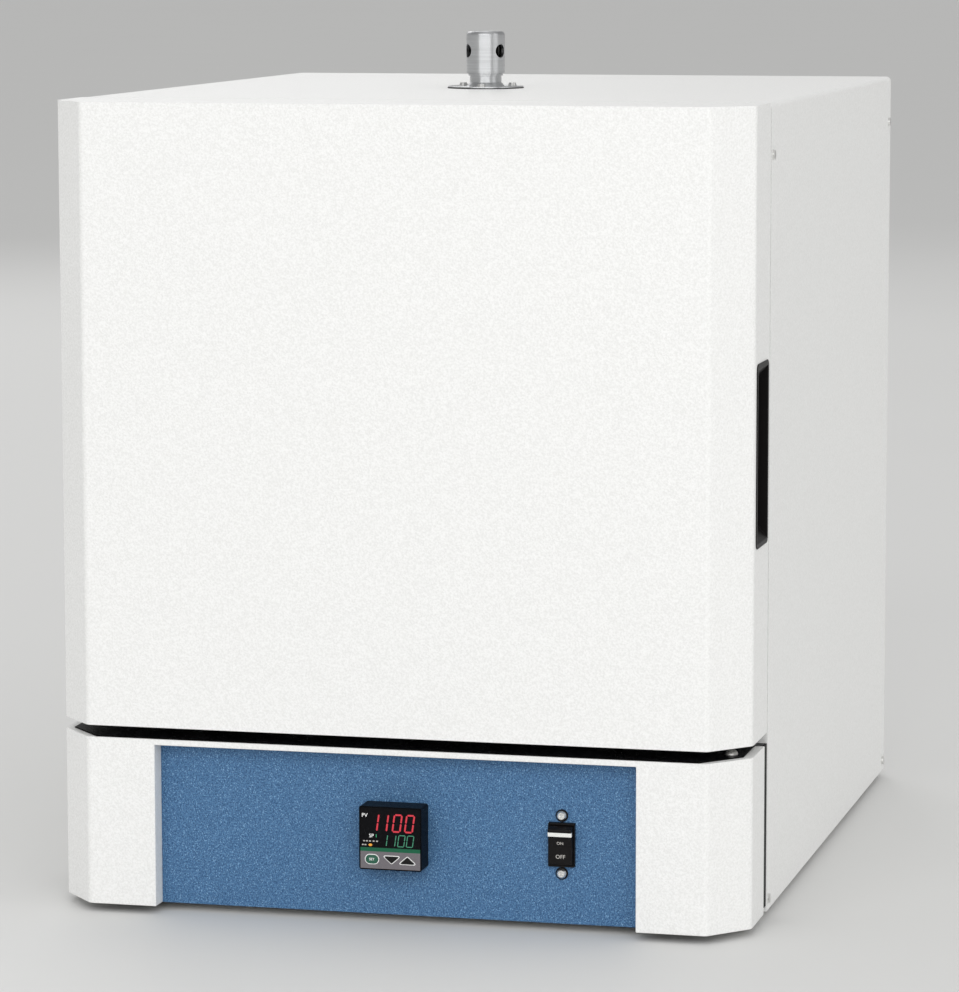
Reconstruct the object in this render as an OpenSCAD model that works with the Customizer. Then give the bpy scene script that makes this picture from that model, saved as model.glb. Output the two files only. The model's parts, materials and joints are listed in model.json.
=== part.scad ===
// Bench-top electric chamber kiln: a side-hinged door with a ceramic-fibre plug over a heated chamber,
// on a low control base with a temperature controller and a rocker breaker.
// Every piece is drawn from the door's front plane (Y = 0), the centre line (X = 0) and the underside
// of the base (Z = 0), and place() then sets the kiln on its feet, centred on the origin.

/* [Cabinet] */
// Width of the cabinet and the door
case_w = 533; // [500:1:600]
// Depth from the door's front to the back panel
case_d = 673; // [650:1:760]
// Height from the underside of the base to the top
case_h = 606.5; // [596:0.5:680]
// Thickness of the painted sheet steel
sheet = 1.5; // [1:0.1:1.8]
// Width of the corner facet, seen from the front
facet_x = 28.3; // [22:0.1:36]
// Depth of the corner facet, seen from the side
facet_y = 31.5; // [24:0.1:34]
// Radius of the folds at the facets
fold_r = 6; // [3:0.5:9]
// Radius of the folds along the cabinet's top edges
top_fold_r = 4; // [2.5:0.5:8]
// Width of the turned-in flanges of the cabinet sheet
flange_w = 10; // [7:0.5:10]
// Height of the control base
base_h = 128.5; // [122:0.5:136]
// Gap between the cabinet side and the base's front casing
base_side_gap = 11.5; // [8:0.5:14]
// How far the feet hold the base off the table
foot_h = 6; // [4:0.5:12]
// Radius of a foot
foot_r = 15; // [10:0.5:20]
// Distance of a foot's centre from the side
foot_inset_x = 70; // [50:1:110]
// Distance of a foot's centre from the front and the back
foot_inset_y = 80; // [60:1:120]
// Head radius of the cabinet and back screws
screw_head_r = 3.5; // [2.5:0.1:4]
// Head height of the cabinet and back screws
screw_head_h = 1.6; // [1:0.1:2.5]

/* [Door] */
// Depth of the door, over its side flanges
door_d = 88.5; // [80:0.5:96]
// Gap between the door and the cabinet
door_gap = 3; // [2.5:0.1:4]
// Gap between the door and the top of the base
ledge_gap = 9; // [6:0.5:12]
// Thickness of the door's inner steel pan
liner_t = 1.2; // [0.8:0.1:1.4]
// Depth of the fibre plug inside the door
plug_back = 26; // [20:1:32]
// How far the fibre plug reaches past the door's inner pan
plug_in = 23; // [16:0.5:28]
// Gap round the plug in the chamber mouth
plug_gap = 5; // [4:0.5:7]
// Width of the flattened rope seal
seal_w = 10; // [8:0.5:12]
// Distance from the plug to the seal
seal_off = 14; // [9:0.5:18]
// Height of the door pull
pull_h = 136.5; // [110:0.5:160]
// Width of the door pull, front to back
pull_w = 47; // [40:0.5:50]
// Height of the pull's centre above the base's underside
pull_z = 350.3; // [300:0.1:400]
// Depth of the pull's pocket
pull_depth = 20; // [14:0.5:24]
// Wall of the pull's pocket
pull_wall = 2; // [1.5:0.1:3]
// Corner radius of the pull
pull_r = 5; // [2:0.5:8]

/* [Hinges] */
// Height of each hinge
hinge_h = 80; // [60:1:110]
// Radius of the hinge barrel
barrel_r = 4.2; // [3.4:0.1:4.4]
// Radius of the hinge pin
hinge_pin_r = 2.25; // [1.8:0.05:2.5]
// Thickness of a hinge leaf
leaf_t = 2; // [1.5:0.1:2.4]
// Width of a hinge leaf, from the barrel's axis
leaf_w = 34; // [28:1:40]
// Distance of each hinge's centre from the door's ends
hinge_end = 90; // [70:1:130]

/* [Chamber] */
// Width of the chamber
chamber_w = 280; // [250:1:300]
// Height of the chamber
chamber_h = 230; // [210:1:240]
// Depth of the chamber behind the mouth
chamber_d = 400; // [370:1:430]
// Thickness of the insulation under the chamber
floor_t = 105; // [95:1:112]
// Thickness of the board round the chamber mouth
mouth_t = 40; // [34:1:48]
// How much the mouth widens towards the front, on each side
mouth_flare = 8; // [5:0.5:11]
// Air space between the inner case and the cabinet's sides
side_air = 18.8; // [16:0.1:24]
// Air space over the inner case
top_air = 26.3; // [20:0.1:36]
// Wiring space behind the inner case
rear_air = 45; // [38:1:60]
// Sheet thickness of the inner case
inner_t = 1.2; // [0.8:0.1:1.5]
// Thickness of the hearth plate
hearth_t = 12; // [8:0.5:18]
// Gap round the hearth plate
hearth_gap = 10; // [6:0.5:16]

/* [Heating elements] */
// Radius of the heating rod
rod_r = 3.5; // [2.5:0.1:4]
// Distance from one pass of the rod to the next
rod_pitch = 26; // [22:0.5:27]
// Number of passes on each wall
rod_passes = 8; // [4:2:8]
// Depth of the rod's centre in the wall
rod_depth = 7; // [6:0.5:10]
// Distance of the rod's bends from the ends of the chamber
rod_end_gap = 12; // [8:1:20]
// Outer radius of the ceramic tube round each rod lead
tube_r = 7; // [6:0.1:8.5]

/* [Control panel] */
// Width of the window between the two posts
window_w = 370.5; // [350:0.5:390]
// Height of the rail above the window
rail_h = 4.5; // [3:0.5:8]
// How far the panel lies behind the front
panel_recess = 16.6; // [12:0.1:22]
// Width and height of the controller's front
ctrl_w = 48; // [47:0.1:50]
// Distance of the controller from the centre line
ctrl_x = -0.5; // [-60:0.1:30]
// Height of the controller's centre
ctrl_z = 62; // [50:0.5:76]
// How far the controller stands out from the panel
ctrl_out = 20.2; // [14:0.1:21]
// Depth of the controller's body behind the panel
ctrl_body_d = 80; // [60:1:110]
// Travel of a key
key_travel = 0.5; // [0.3:0.05:0.6]
// Distance of the breaker from the centre line
brk_x = 126; // [100:0.5:140]
// Height of the breaker's centre
brk_z = 60; // [50:0.5:76]
// Width of the breaker
brk_w = 20; // [18:0.1:24]
// Height of the breaker
brk_h = 33; // [33:0.1:38]
// Distance between the breaker's two screws
brk_screw_pitch = 43.6; // [43:0.1:50]
// Swing of the rocker from ON to OFF, in degrees
rocker_swing = 20; // [12:1:24]

/* [Vent] */
// Distance of the vent from the centre line
vent_x = -11.5; // [-60:0.5:60]
// Distance of the vent from the front
vent_y = 340; // [300:1:380]
// Radius of the vent's flange
vent_flange_r = 30.2; // [26:0.1:36]
// Radius of the vent's neck
vent_neck_r = 12.7; // [11:0.1:13]
// Height of the neck below the cap
vent_neck_h = 11.8; // [8:0.1:16]
// Radius of the turning cap
cap_r = 15.5; // [15:0.1:18]
// Height of the turning cap
cap_h = 33.5; // [30:0.5:40]
// Radius of each hole in the cap
cap_hole_r = 5.35; // [4:0.05:5.8]
// Height of the holes above the cap's lower edge
cap_hole_z = 18; // [14:0.5:20]
// Direction of the first hole, from the front towards the right
cap_hole_turn = -55; // [-60:1:60]

/* [Fits] */
// Gap between a moving piece and what it passes
run_gap = 0.3; // [0.2:0.05:0.4]
// Gap between a turning pin and its bore
pin_gap = 0.05; // [0.02:0.01:0.1]
// Gap between two fixed pieces that are fitted together
seat_gap = 0.2; // [0.1:0.05:0.3]

/* [Hidden] */

$fn = 64;
arc_steps = 4; // flats in each rounded fold
eps = 0.01; // overlap of a cut beyond the face that it opens

white_paint = [0.93, 0.93, 0.91];
blue_paint = [0.30, 0.47, 0.62];
bare_steel = [0.66, 0.67, 0.68];
fibre_white = [0.95, 0.93, 0.88];
black_plastic = [0.08, 0.08, 0.09];
ceramic = [0.88, 0.84, 0.76];

half_w = case_w / 2;
door_z = base_h + ledge_gap; // underside of the door
door_h = case_h - door_z;
wrap_y = door_d + door_gap; // front edge of the cabinet sheet
frame_y = wrap_y + sheet; // front face of the frame plate
inner_y = frame_y + sheet; // front of the insulated box
inner_w = half_w - sheet - side_air; // half width of the inner case, outside
ins_w = inner_w - inner_t; // half width of the insulation
deck_z = door_z; // top of the deck plate
inner_top = case_h - sheet - top_air; // top of the inner case, outside
ins_top = inner_top - inner_t;
back_y = case_d - sheet; // inner face of the back panel
inner_back = back_y - rear_air; // rear face of the inner case
ins_back = inner_back - inner_t;
ch_y0 = inner_y + mouth_t; // front of the heated walls
ch_y1 = ch_y0 + chamber_d;
ch_z0 = deck_z + floor_t; // chamber floor
ch_z1 = ch_z0 + chamber_h;
ch_zc = (ch_z0 + ch_z1) / 2;
flare_rate = mouth_flare / mouth_t;
liner_back = door_d + liner_t; // rear face of the door's inner pan
plug_nose = liner_back + plug_in;
hinge_x = -half_w - barrel_r - run_gap; // hinge axis, outside the left wall
hinge_y = door_d + door_gap / 2;
hinge_zs = [door_z + hinge_end, case_h - hinge_end]; // heights of the hinge centres
panel_y = panel_recess; // front face of the control panel
pull_y = facet_y + 28; // centre of the pull, front to back

module place() {
    translate([0, -case_d / 2, foot_h]) children();
}

// Cuboid given by its low and high corners
module block(lo, hi) {
    translate(lo) cube(hi - lo);
}

// Cylinders that point along X and along Y, from their start
module rod_x(r, h) {
    rotate([0, 90, 0]) cylinder(r = r, h = h);
}

module rod_y(r, h) {
    rotate([-90, 0, 0]) cylinder(r = r, h = h);
}

module cone_y(r1, r2, h) {
    rotate([-90, 0, 0]) cylinder(r1 = r1, r2 = r2, h = h);
}

// Both halves of a piece that is the same on the left and on the right
module both_sides() {
    children();
    mirror([1, 0, 0]) children();
}

// Plate in the XZ plane between two depths, from a flat shape drawn in X and Z
module upright(y0, y1) {
    translate([0, y1, 0]) rotate([90, 0, 0]) linear_extrude(y1 - y0) children();
}

// Bar along X between two places, from a flat shape drawn in Y and Z
module lengthwise(x0, x1) {
    translate([x0, 0, 0]) rotate([90, 0, 90]) linear_extrude(x1 - x0) children();
}

function unit(v) = v / norm(v);

// Arc that rounds the corner b of the outline a, b, c to the radius r
function corner_arc(a, b, c, r) =
    let (u = unit(a - b), v = unit(c - b), half = acos(u * v) / 2,
        centre = b + unit(u + v) * r / sin(half),
        first = b + u * r / tan(half) - centre,
        last = b + v * r / tan(half) - centre,
        start = atan2(first.y, first.x),
        turn = atan2(last.y, last.x) - start,
        sweep = turn > 180 ? turn - 360 : turn < -180 ? turn + 360 : turn)
    [for (k = [0:arc_steps]) centre + r * [cos(start + sweep * k / arc_steps),
        sin(start + sweep * k / arc_steps)]];

// Closed outline whose corners are rounded, each to its own radius
function rounded(pts, radii) =
    [for (i = [0:len(pts) - 1]) each radii[i] > 0
        ? corner_arc(pts[(i + len(pts) - 1) % len(pts)], pts[i], pts[(i + 1) % len(pts)], radii[i])
        : [pts[i]]];

function box_pts(lo, hi) = [lo, [hi.x, lo.y], hi, [lo.x, hi.y]];

module round_box(lo, hi, r) {
    polygon(rounded(box_pts(lo, hi), [r, r, r, r]));
}

// Plan of the door and the base casing: flat front, a facet at each corner, straight sides
function plan_pts(inset, depth) =
    let (slant = norm([facet_x, facet_y]),
        w = half_w - inset,
        fx = half_w - facet_x - inset * (slant - facet_x) / facet_y,
        sy = facet_y + inset * (slant - facet_y) / facet_x,
        r = fold_r - inset)
    rounded([[-w, depth], [-w, sy], [-fx, inset], [fx, inset], [w, sy], [w, depth]],
        [0, r, r, r, r, 0]);

// Front view of the cabinet sheet: square below, folded along the two top edges
module cabinet_outline(inset, low) {
    w = half_w - inset;
    r = top_fold_r - min(inset, sheet);
    polygon(rounded([[-w, low], [w, low], [w, case_h - inset], [-w, case_h - inset]], [0, 0, r, r]));
}

// Tapered block that fills the chamber mouth, grown by the gap on each side, between two depths
module mouth_taper(grow, y0, y1) {
    x0 = chamber_w / 2 + mouth_flare + grow - flare_rate * (y0 - inner_y);
    x1 = chamber_w / 2 + mouth_flare + grow - flare_rate * (y1 - inner_y);
    dz = (chamber_h - chamber_w) / 2;
    intersection() {
        translate([0, 0, ch_zc - chamber_h]) linear_extrude(2 * chamber_h)
            polygon([[-x0, y0], [x0, y0], [x1, y1], [-x1, y1]]);
        lengthwise(-chamber_w, chamber_w)
            polygon([[y0, ch_zc - x0 - dz], [y1, ch_zc - x1 - dz], [y1, ch_zc + x1 + dz],
                [y0, ch_zc + x0 + dz]]);
    }
}

// Screws: each is given by the centre of its seat, with its head outside and its shank inside
screw_r = 1.8; // radius of a sheet-metal screw's shank
screw_l = 7; // length of the shank
side_screw_y = [frame_y + 5, back_y - 10]; // front and rear rows on the cabinet's sides
side_screw_z = [9, case_h - 38.5];
rear_edge = 6.5; // distance of the back screws from the panel's edge

module screw_y(x, y, z) {
    translate([x, y, z]) {
        rod_y(screw_head_r, screw_head_h);
        translate([0, -screw_l, 0]) rod_y(screw_r, screw_l);
    }
}

module side_screw_holes(r) {
    both_sides() for (y = side_screw_y, z = side_screw_z)
        translate([half_w - 4 * sheet, y, z]) rod_x(r, 5 * sheet);
}

back_screw_x = half_w - rear_edge;
back_screw_xz = [for (s = [-1, 1], z = [30, deck_z + 30, ch_zc, case_h - 40]) [s * back_screw_x, z],
    for (s = [-1, 1]) [s * half_w / 3, case_h - rear_edge]];

module back_screw_holes(y0) {
    for (p = back_screw_xz) translate([p.x, y0, p.y]) rod_y(screw_r + seat_gap, 4 * sheet);
}

// Painted sheet that makes the two sides and the top, with turned-in flanges
bottom_flange = 26; // width of the flanges under the base pan
module outer_wrap() color(white_paint) place() difference() {
    union() {
        difference() {
            upright(wrap_y, back_y) cabinet_outline(0, 0);
            upright(wrap_y - 1, back_y + 1) cabinet_outline(sheet, -1);
        }
        upright(wrap_y, frame_y) difference() {
            cabinet_outline(0, base_h);
            cabinet_outline(flange_w, base_h - 1);
        }
        upright(back_y - sheet, back_y) difference() {
            cabinet_outline(0, 0);
            cabinet_outline(flange_w + 4, -1);
        }
        both_sides() block([half_w - bottom_flange, wrap_y, 0], [half_w - sheet / 2, back_y, sheet]);
    }
    translate([vent_x, vent_y, case_h - 2 * sheet]) cylinder(r = vent_liner_r + 1, h = 4 * sheet);
    side_screw_holes(screw_r + seat_gap);
    back_screw_holes(back_y - 2 * sheet);
}

// Louvres of the back panel: quarter-round hoods, open below, over a slot
louvre_r = 6;
louvre_w = 150;
louvre_pitch = 22;
louvre_x = 105; // centre of each column
louvre_rows = [for (i = [0:2]) 48 + i * louvre_pitch, for (i = [0:3]) deck_z + 40 + i * louvre_pitch,
    for (i = [0:3]) case_h - 60 - i * louvre_pitch];

module louvre_hood() {
    difference() {
        intersection() {
            rod_x(louvre_r, louvre_w);
            block([0, -eps, 0], [louvre_w, louvre_r, louvre_r]);
        }
        translate([sheet, 0, 0]) rod_x(louvre_r - sheet, louvre_w - 2 * sheet);
    }
}

// Cable gland of the mains inlet, low at the back, beside the louvres
gland_x = -half_w + 61.5;
gland_z = 42;
gland_bore_r = 5.5;
gland_shank_r = 9.8;
gland_out = 12; // how far the gland stands out behind

module back_panel() color(white_paint) place() {
    difference() {
        union() {
            upright(back_y, case_d) cabinet_outline(1, 1);
            for (s = [-1, 1], z = louvre_rows)
                translate([s * louvre_x - louvre_w / 2, case_d, z]) louvre_hood();
        }
        for (s = [-1, 1], z = louvre_rows)
            block([s * louvre_x - louvre_w / 2 + sheet, back_y - 1, z],
                [s * louvre_x + louvre_w / 2 - sheet, case_d + eps, z + louvre_r - sheet]);
        back_screw_holes(back_y - sheet);
        translate([gland_x, back_y - 1, gland_z]) rod_y(gland_shank_r + seat_gap, sheet + 2);
    }
}

// Floor of the control base, with turned-up sides and cooling slots
pan_z = sheet; // the pan lies on the cabinet's bottom flanges
pan_w = half_w - sheet - seat_gap;
pan_lip = 20;
slot_l = 60; // length of a cooling slot
slot_h = 4; // width of a cooling slot
slot_pitch_x = 75;
slot_pitch_y = 14;
foot_xy = [for (x = [-1, 1], y = [foot_inset_y, case_d - foot_inset_y]) [x * (half_w - foot_inset_x), y]];

module base_pan() color(bare_steel) place() difference() {
    union() {
        translate([0, 0, pan_z]) linear_extrude(sheet) intersection() {
            polygon(plan_pts(sheet + seat_gap, back_y - sheet - seat_gap));
            translate([-half_w, panel_y + sheet + seat_gap]) square([case_w, case_d]);
        }
        both_sides() block([pan_w - sheet, wrap_y + seat_gap, pan_z],
            [pan_w, back_y - sheet - seat_gap, pan_z + pan_lip]);
    }
    for (x = [-2:2], y = [-3:3]) translate([x * slot_pitch_x - slot_l / 2, case_d / 2 + y * slot_pitch_y, 0])
        block([0, 0, 0], [slot_l, slot_h, 3 * sheet]);
    for (p = foot_xy) translate([p.x, p.y, 0]) cylinder(r = foot_stud_r + seat_gap, h = 3 * sheet);
    side_screw_holes(screw_r + seat_gap);
}

// Rubber feet, each with a screw recess below and a stud through the pan
foot_stud_r = 3;
module feet() color(black_plastic) place() for (p = foot_xy) translate([p.x, p.y, 0]) {
    difference() {
        translate([0, 0, -foot_h]) cylinder(r1 = foot_r - 2.5, r2 = foot_r, h = foot_h + pan_z);
        translate([0, 0, -foot_h - 1]) cylinder(r = foot_stud_r + 2, h = foot_h / 2 + 1);
    }
    translate([0, 0, pan_z - eps]) cylinder(r = foot_stud_r, h = sheet + 4);
}

// Shelf between the control base and the insulated box
deck_lip = 14;
module deck_plate() color(bare_steel) place() {
    block([-pan_w, inner_y, deck_z - sheet], [pan_w, back_y - sheet - seat_gap, deck_z]);
    both_sides() block([pan_w - sheet, inner_y + frame_lip + 1, deck_z - deck_lip],
        [pan_w, back_y - sheet - seat_gap, deck_z - sheet / 2]);
}

// Steel plate round the chamber mouth, folded back at its sides
frame_lip = 16;
frame_low = base_h - 14;
mouth_rim = 3; // gap between the frame's opening and the mouth board
module front_frame() color(bare_steel) place() difference() {
    union() {
        block([-pan_w, frame_y, frame_low], [pan_w, inner_y, case_h - sheet - seat_gap]);
        both_sides() block([pan_w - sheet, frame_y, deck_z], [pan_w, inner_y + frame_lip,
            case_h - sheet - seat_gap - top_fold_r]);
    }
    mouth_taper(mouth_rim, frame_y - 1, inner_y + 1);
    side_screw_holes(screw_r + seat_gap);
    translate([switch_x, frame_y - 1, switch_z]) rod_y(plunger_r + 2 * run_gap, 4 * sheet);
    for (z = catch_zs) translate([catch_x, frame_y - 1, z]) rod_y(screw_r + seat_gap, 4 * sheet);
    top_corner_relief();
}

// The frame's top corners are cut off square to the cabinet's folded ones
module top_corner_relief() {
    w = pan_w + eps;
    z = case_h - sheet - seat_gap + eps;
    both_sides() upright(frame_y - 1, inner_y + frame_lip + 1)
        polygon([[w - top_fold_r, z], [w, z - top_fold_r], [w, z]]);
}

// Front casing of the base: two posts with the same facets as the door, a rail and the ledge
base_d = wrap_y - base_side_gap;
module front_bezel() color(white_paint) place() {
    difference() {
        linear_extrude(base_h) polygon(plan_pts(0, base_d));
        translate([0, 0, -1]) linear_extrude(base_h - sheet + 1) polygon(plan_pts(sheet, base_d + 1));
        block([-window_w / 2, -1, -1], [window_w / 2, sheet + 1, base_h - rail_h]);
        glide_hole();
    }
    both_sides() block([window_w / 2, sheet / 2, 0], [window_w / 2 + sheet, panel_y, base_h - sheet / 2]);
    block([-window_w / 2 - eps, sheet / 2, base_h - rail_h],
        [window_w / 2 + eps, panel_y, base_h - rail_h + sheet]);
    block([-(half_w - flange_w - 4), base_d - eps, base_h - sheet], [half_w - flange_w - 4, frame_y, base_h]);
}

// Black plate that covers the ledge under the door, inside a narrow painted edge
ledge_edge = 1.5; // width of the painted edge along the front
ledge_side = 7; // and along the sides and the facets
ledge_t = 1;
module ledge_plate() color(black_plastic) place() difference() {
    w = half_w - ledge_side;
    cut = ledge_side * 0.8; // square to the facet
    slant = norm([facet_x, facet_y]);
    fx = half_w - facet_x - (cut * slant - ledge_edge * facet_x) / facet_y;
    fy = (w - half_w + facet_x + cut * slant / facet_y) * facet_y / facet_x;
    translate([0, 0, base_h]) linear_extrude(ledge_t)
        polygon([[-w, base_d - ledge_edge], [-w, fy], [-fx, ledge_edge], [fx, ledge_edge], [w, fy],
            [w, base_d - ledge_edge]]);
    translate([glide_x, glide_y, base_h - 1]) cylinder(r = glide_r + seat_gap, h = ledge_t + 2);
}

// Foam strips that close the gaps between the front casing and the cabinet's sides
strip_t = 1.6;
strip_inset = 0.5; // how far the strips lie inside the painted surface
module gap_strips() color(black_plastic) place() both_sides()
    block([half_w - strip_inset - strip_t, base_d + seat_gap, pan_z + 2 * sheet],
        [half_w - strip_inset, wrap_y - seat_gap, base_h]);

// Steel glide button on the ledge, under the door's free corner
glide_r = 5;
glide_h = 5.5;
glide_x = half_w - 17;
glide_y = 36;
module glide_hole() {
    translate([glide_x, glide_y, base_h - 2 * sheet]) cylinder(r = 2 + seat_gap, h = 3 * sheet);
}

module door_glide() color(bare_steel) place() translate([glide_x, glide_y, base_h]) {
    rotate_extrude() polygon([[0, -4], [2, -4], [2, 0], [glide_r, 0], [glide_r, 1.5],
        for (a = [15:15:75]) [glide_r * cos(a), 1.5 + (glide_h - 1.5) * sin(a)], [0, glide_h]]);
}

// Recessed blue panel with openings for the controller and the breaker
ctrl_body_w = 44.6; // behind the front: the standard panel opening takes it
panel_edge = 9; // how far the panel reaches behind each post
brk_screw_r = 1.6;
module control_panel() color(blue_paint) place() difference() {
    block([-window_w / 2 - panel_edge, panel_y, 0],
        [window_w / 2 + panel_edge, panel_y + sheet, base_h - sheet - seat_gap]);
    square_hole(ctrl_x, ctrl_z, ctrl_body_w / 2 + seat_gap, ctrl_body_w / 2 + seat_gap);
    square_hole(brk_x, brk_z, brk_w / 2 + seat_gap, brk_h / 2 + seat_gap);
    for (s = [-1, 1]) translate([brk_x, panel_y - 1, brk_z + s * brk_screw_pitch / 2])
        rod_y(brk_screw_r + seat_gap, 3 * sheet);
}

module square_hole(x, z, hx, hz) {
    block([x - hx, panel_y - 1, z - hz], [x + hx, panel_y + sheet + 1, z + hz]);
}

// Sheet-steel case that holds the insulation, open in front
lead_x = chamber_w / 2 + rod_depth;
rod_z0 = ch_zc - (rod_passes - 1) / 2 * rod_pitch; // lowest pass
lead_zs = [rod_z0, rod_z0 + (rod_passes - 1) * rod_pitch];
probe_r = 4; // thermocouple sheath
probe_z = ch_z1 - 45;
vent_liner_r = vent_neck_r - 1.9;
module inner_case() color(bare_steel) place() difference() {
    upright(inner_y, inner_back) polygon(box_pts([-inner_w, deck_z], [inner_w, inner_top]));
    upright(inner_y - 1, ins_back) polygon(box_pts([-ins_w, deck_z - 1], [ins_w, ins_top]));
    lead_holes(ins_back - 1, inner_back + 1);
    translate([0, ins_back - 1, probe_z]) rod_y(probe_r + seat_gap, inner_t + 2);
    translate([vent_x, vent_y, ins_top - 1]) cylinder(r = vent_liner_r + seat_gap, h = inner_t + 2);
}

module lead_holes(y0, y1) {
    both_sides() for (z = lead_zs) translate([lead_x, y0, z]) rod_y(tube_r + seat_gap, y1 - y0);
}

// Right-hand heating rod, which winds up the wall. The mouth opens the same shape towards the
// chamber, which makes the groove that the rod lies in
module rod_path(r, mouth, lead_y) {
    ya = ch_y0 + rod_end_gap + rod_pitch / 2;
    yb = ch_y1 - rod_end_gap - rod_pitch / 2;
    for (i = [0:rod_passes - 1]) {
        y1 = i == 0 || i == rod_passes - 1 ? lead_y : yb;
        translate([lead_x, ya, rod_z0 + i * rod_pitch]) rotate([-90, 0, 0])
            linear_extrude(y1 - ya) channel(r, mouth);
    }
    for (i = [0:rod_passes - 2]) {
        z = rod_z0 + (i + 0.5) * rod_pitch;
        if (i % 2 == 0)
            translate([lead_x, ya, z]) mirror([0, 1, 0]) rod_bend(r, mouth);
        else
            translate([lead_x, yb, z]) rod_bend(r, mouth);
    }
}

module channel(r, mouth) {
    circle(r);
    if (mouth > 0)
        translate([-mouth, -r]) square([mouth, 2 * r]);
}

module rod_bend(r, mouth) {
    rotate([0, 90, 0]) rotate_extrude(angle = 180) translate([rod_pitch / 2, 0]) {
        circle(r);
        if (mouth > 0)
            translate([-r, -mouth]) square([2 * r, mouth]);
    }
}

module side_block() difference() {
    block([chamber_w / 2, ch_y0, ch_z0], [ins_w, ch_y1, ch_z1]);
    rod_path(rod_r + run_gap, rod_depth + 1, ch_y1 + 1);
}

module insulation_right() color(fibre_white) place() side_block();

module insulation_left() color(fibre_white) place() mirror([1, 0, 0]) side_block();

module insulation_top() color(fibre_white) place() difference() {
    block([-ins_w, ch_y0, ch_z1], [ins_w, ins_back, ins_top]);
    translate([vent_x, vent_y, ch_z1 - 1]) cylinder(r = vent_liner_r + seat_gap, h = case_h);
}

module insulation_bottom() color(fibre_white) place()
    block([-ins_w, ch_y0, deck_z], [ins_w, ins_back, ch_z0]);

module insulation_back() color(fibre_white) place() difference() {
    block([-ins_w, ch_y1, ch_z0], [ins_w, ins_back, ch_z1]);
    lead_holes(ch_y1 - 1, ins_back + 1);
    translate([0, ch_y1 - 1, probe_z]) rod_y(probe_r + seat_gap, case_d);
}

// Hard board round the mouth, whose tapered opening takes the door's plug
module mouth_board() color(ceramic) place() difference() {
    block([-ins_w, inner_y, deck_z], [ins_w, ch_y0, ins_top]);
    mouth_taper(0, inner_y - 1, ch_y0 + 1);
}

tube_out = 10; // how far a tube stands out behind the inner case
lead_end = inner_back + tube_out + 16;
module element_right() color(bare_steel) place() rod_path(rod_r, 0, lead_end);

module element_left() color(bare_steel) place() mirror([1, 0, 0]) rod_path(rod_r, 0, lead_end);

module element_tubes() color(ceramic) place() both_sides() for (z = lead_zs)
    translate([lead_x, ch_y1, z]) difference() {
        union() {
            rod_y(tube_r, inner_back + tube_out - ch_y1);
            translate([0, inner_back - ch_y1, 0]) rod_y(tube_r + 3, tube_out / 2);
        }
        translate([0, -1, 0]) rod_y(rod_r + run_gap, case_d);
    }

// Clamp on each rod lead, with its pinch screw
clamp_y0 = inner_back + tube_out + 2;
clamp_half = 9;
clamp_d = 15;
clamp_screw_r = 3.5;
clamp_slot = 0.75; // half width of the slot that the screw closes
module element_terminals() color("goldenrod") place() both_sides() for (z = lead_zs)
    translate([lead_x, clamp_y0, z]) difference() {
        union() {
            block([-clamp_half, 0, -clamp_half], [clamp_half, clamp_d, clamp_half]);
            translate([0, clamp_d / 2, clamp_half - eps]) cylinder(r = clamp_screw_r, h = 4);
        }
        translate([0, -1, 0]) rod_y(rod_r + pin_gap, clamp_d + 2);
        block([-clamp_slot, -1, 0], [clamp_slot, clamp_d + 1, clamp_half - 3]);
    }

module hearth_plate() color(ceramic) place() {
    w = chamber_w / 2 - hearth_gap;
    translate([0, 0, ch_z0]) linear_extrude(hearth_t)
        round_box([-w, ch_y0 + hearth_gap], [w, ch_y1 - hearth_gap], 8);
}

// Sheathed thermocouple, with its connection head behind the inner case
probe_in = 32; // how far the tip reaches into the chamber
probe_flange_r = 11;
probe_flange_t = 3;
probe_head_w = 28;
probe_head_h = 18;
probe_head_d = 13;
module thermocouple() color(ceramic) place() translate([0, inner_back, probe_z]) {
    translate([0, ch_y1 - probe_in - inner_back, 0]) rod_y(probe_r, inner_back + 4 - ch_y1 + probe_in);
    rod_y(probe_flange_r, probe_flange_t);
    difference() {
        block([-probe_head_w / 2, probe_flange_t - eps, -probe_head_h / 2],
            [probe_head_w / 2, probe_flange_t + probe_head_d, probe_head_h / 2]);
        for (s = [-1, 1]) translate([s * probe_head_w / 4, probe_head_d, 0]) rod_y(2.5, probe_flange_t + 1);
    }
}

// Vent: a ceramic liner through the insulation, a flanged neck on the top, and a cap that turns
// on the neck and covers or uncovers its three holes
vent_flange_t = 0.8;
vent_gasket_t = 0.8;
vent_seat_z = case_h + vent_gasket_t + vent_flange_t; // top of the flange
vent_wall = 1.5;
cap_wall = cap_r - vent_neck_r - run_gap;
cap_z = case_h + vent_neck_h; // lower edge of the cap
hole_z = cap_z + cap_hole_z;
screw_pcd_r = (vent_flange_r + vent_neck_r) / 2 + 1.5;

module vent_liner() color(ceramic) place() translate([vent_x, vent_y, ch_z1]) difference() {
    cylinder(r = vent_liner_r, h = case_h + 5 - ch_z1);
    translate([0, 0, -1]) cylinder(r = vent_liner_r - 3, h = case_h);
}

module vent_holes(r) {
    for (i = [0:2]) translate([0, 0, hole_z]) rotate([0, 90, i * 120 + cap_hole_turn - 90])
        cylinder(r = r, h = 2 * cap_r);
}

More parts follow.
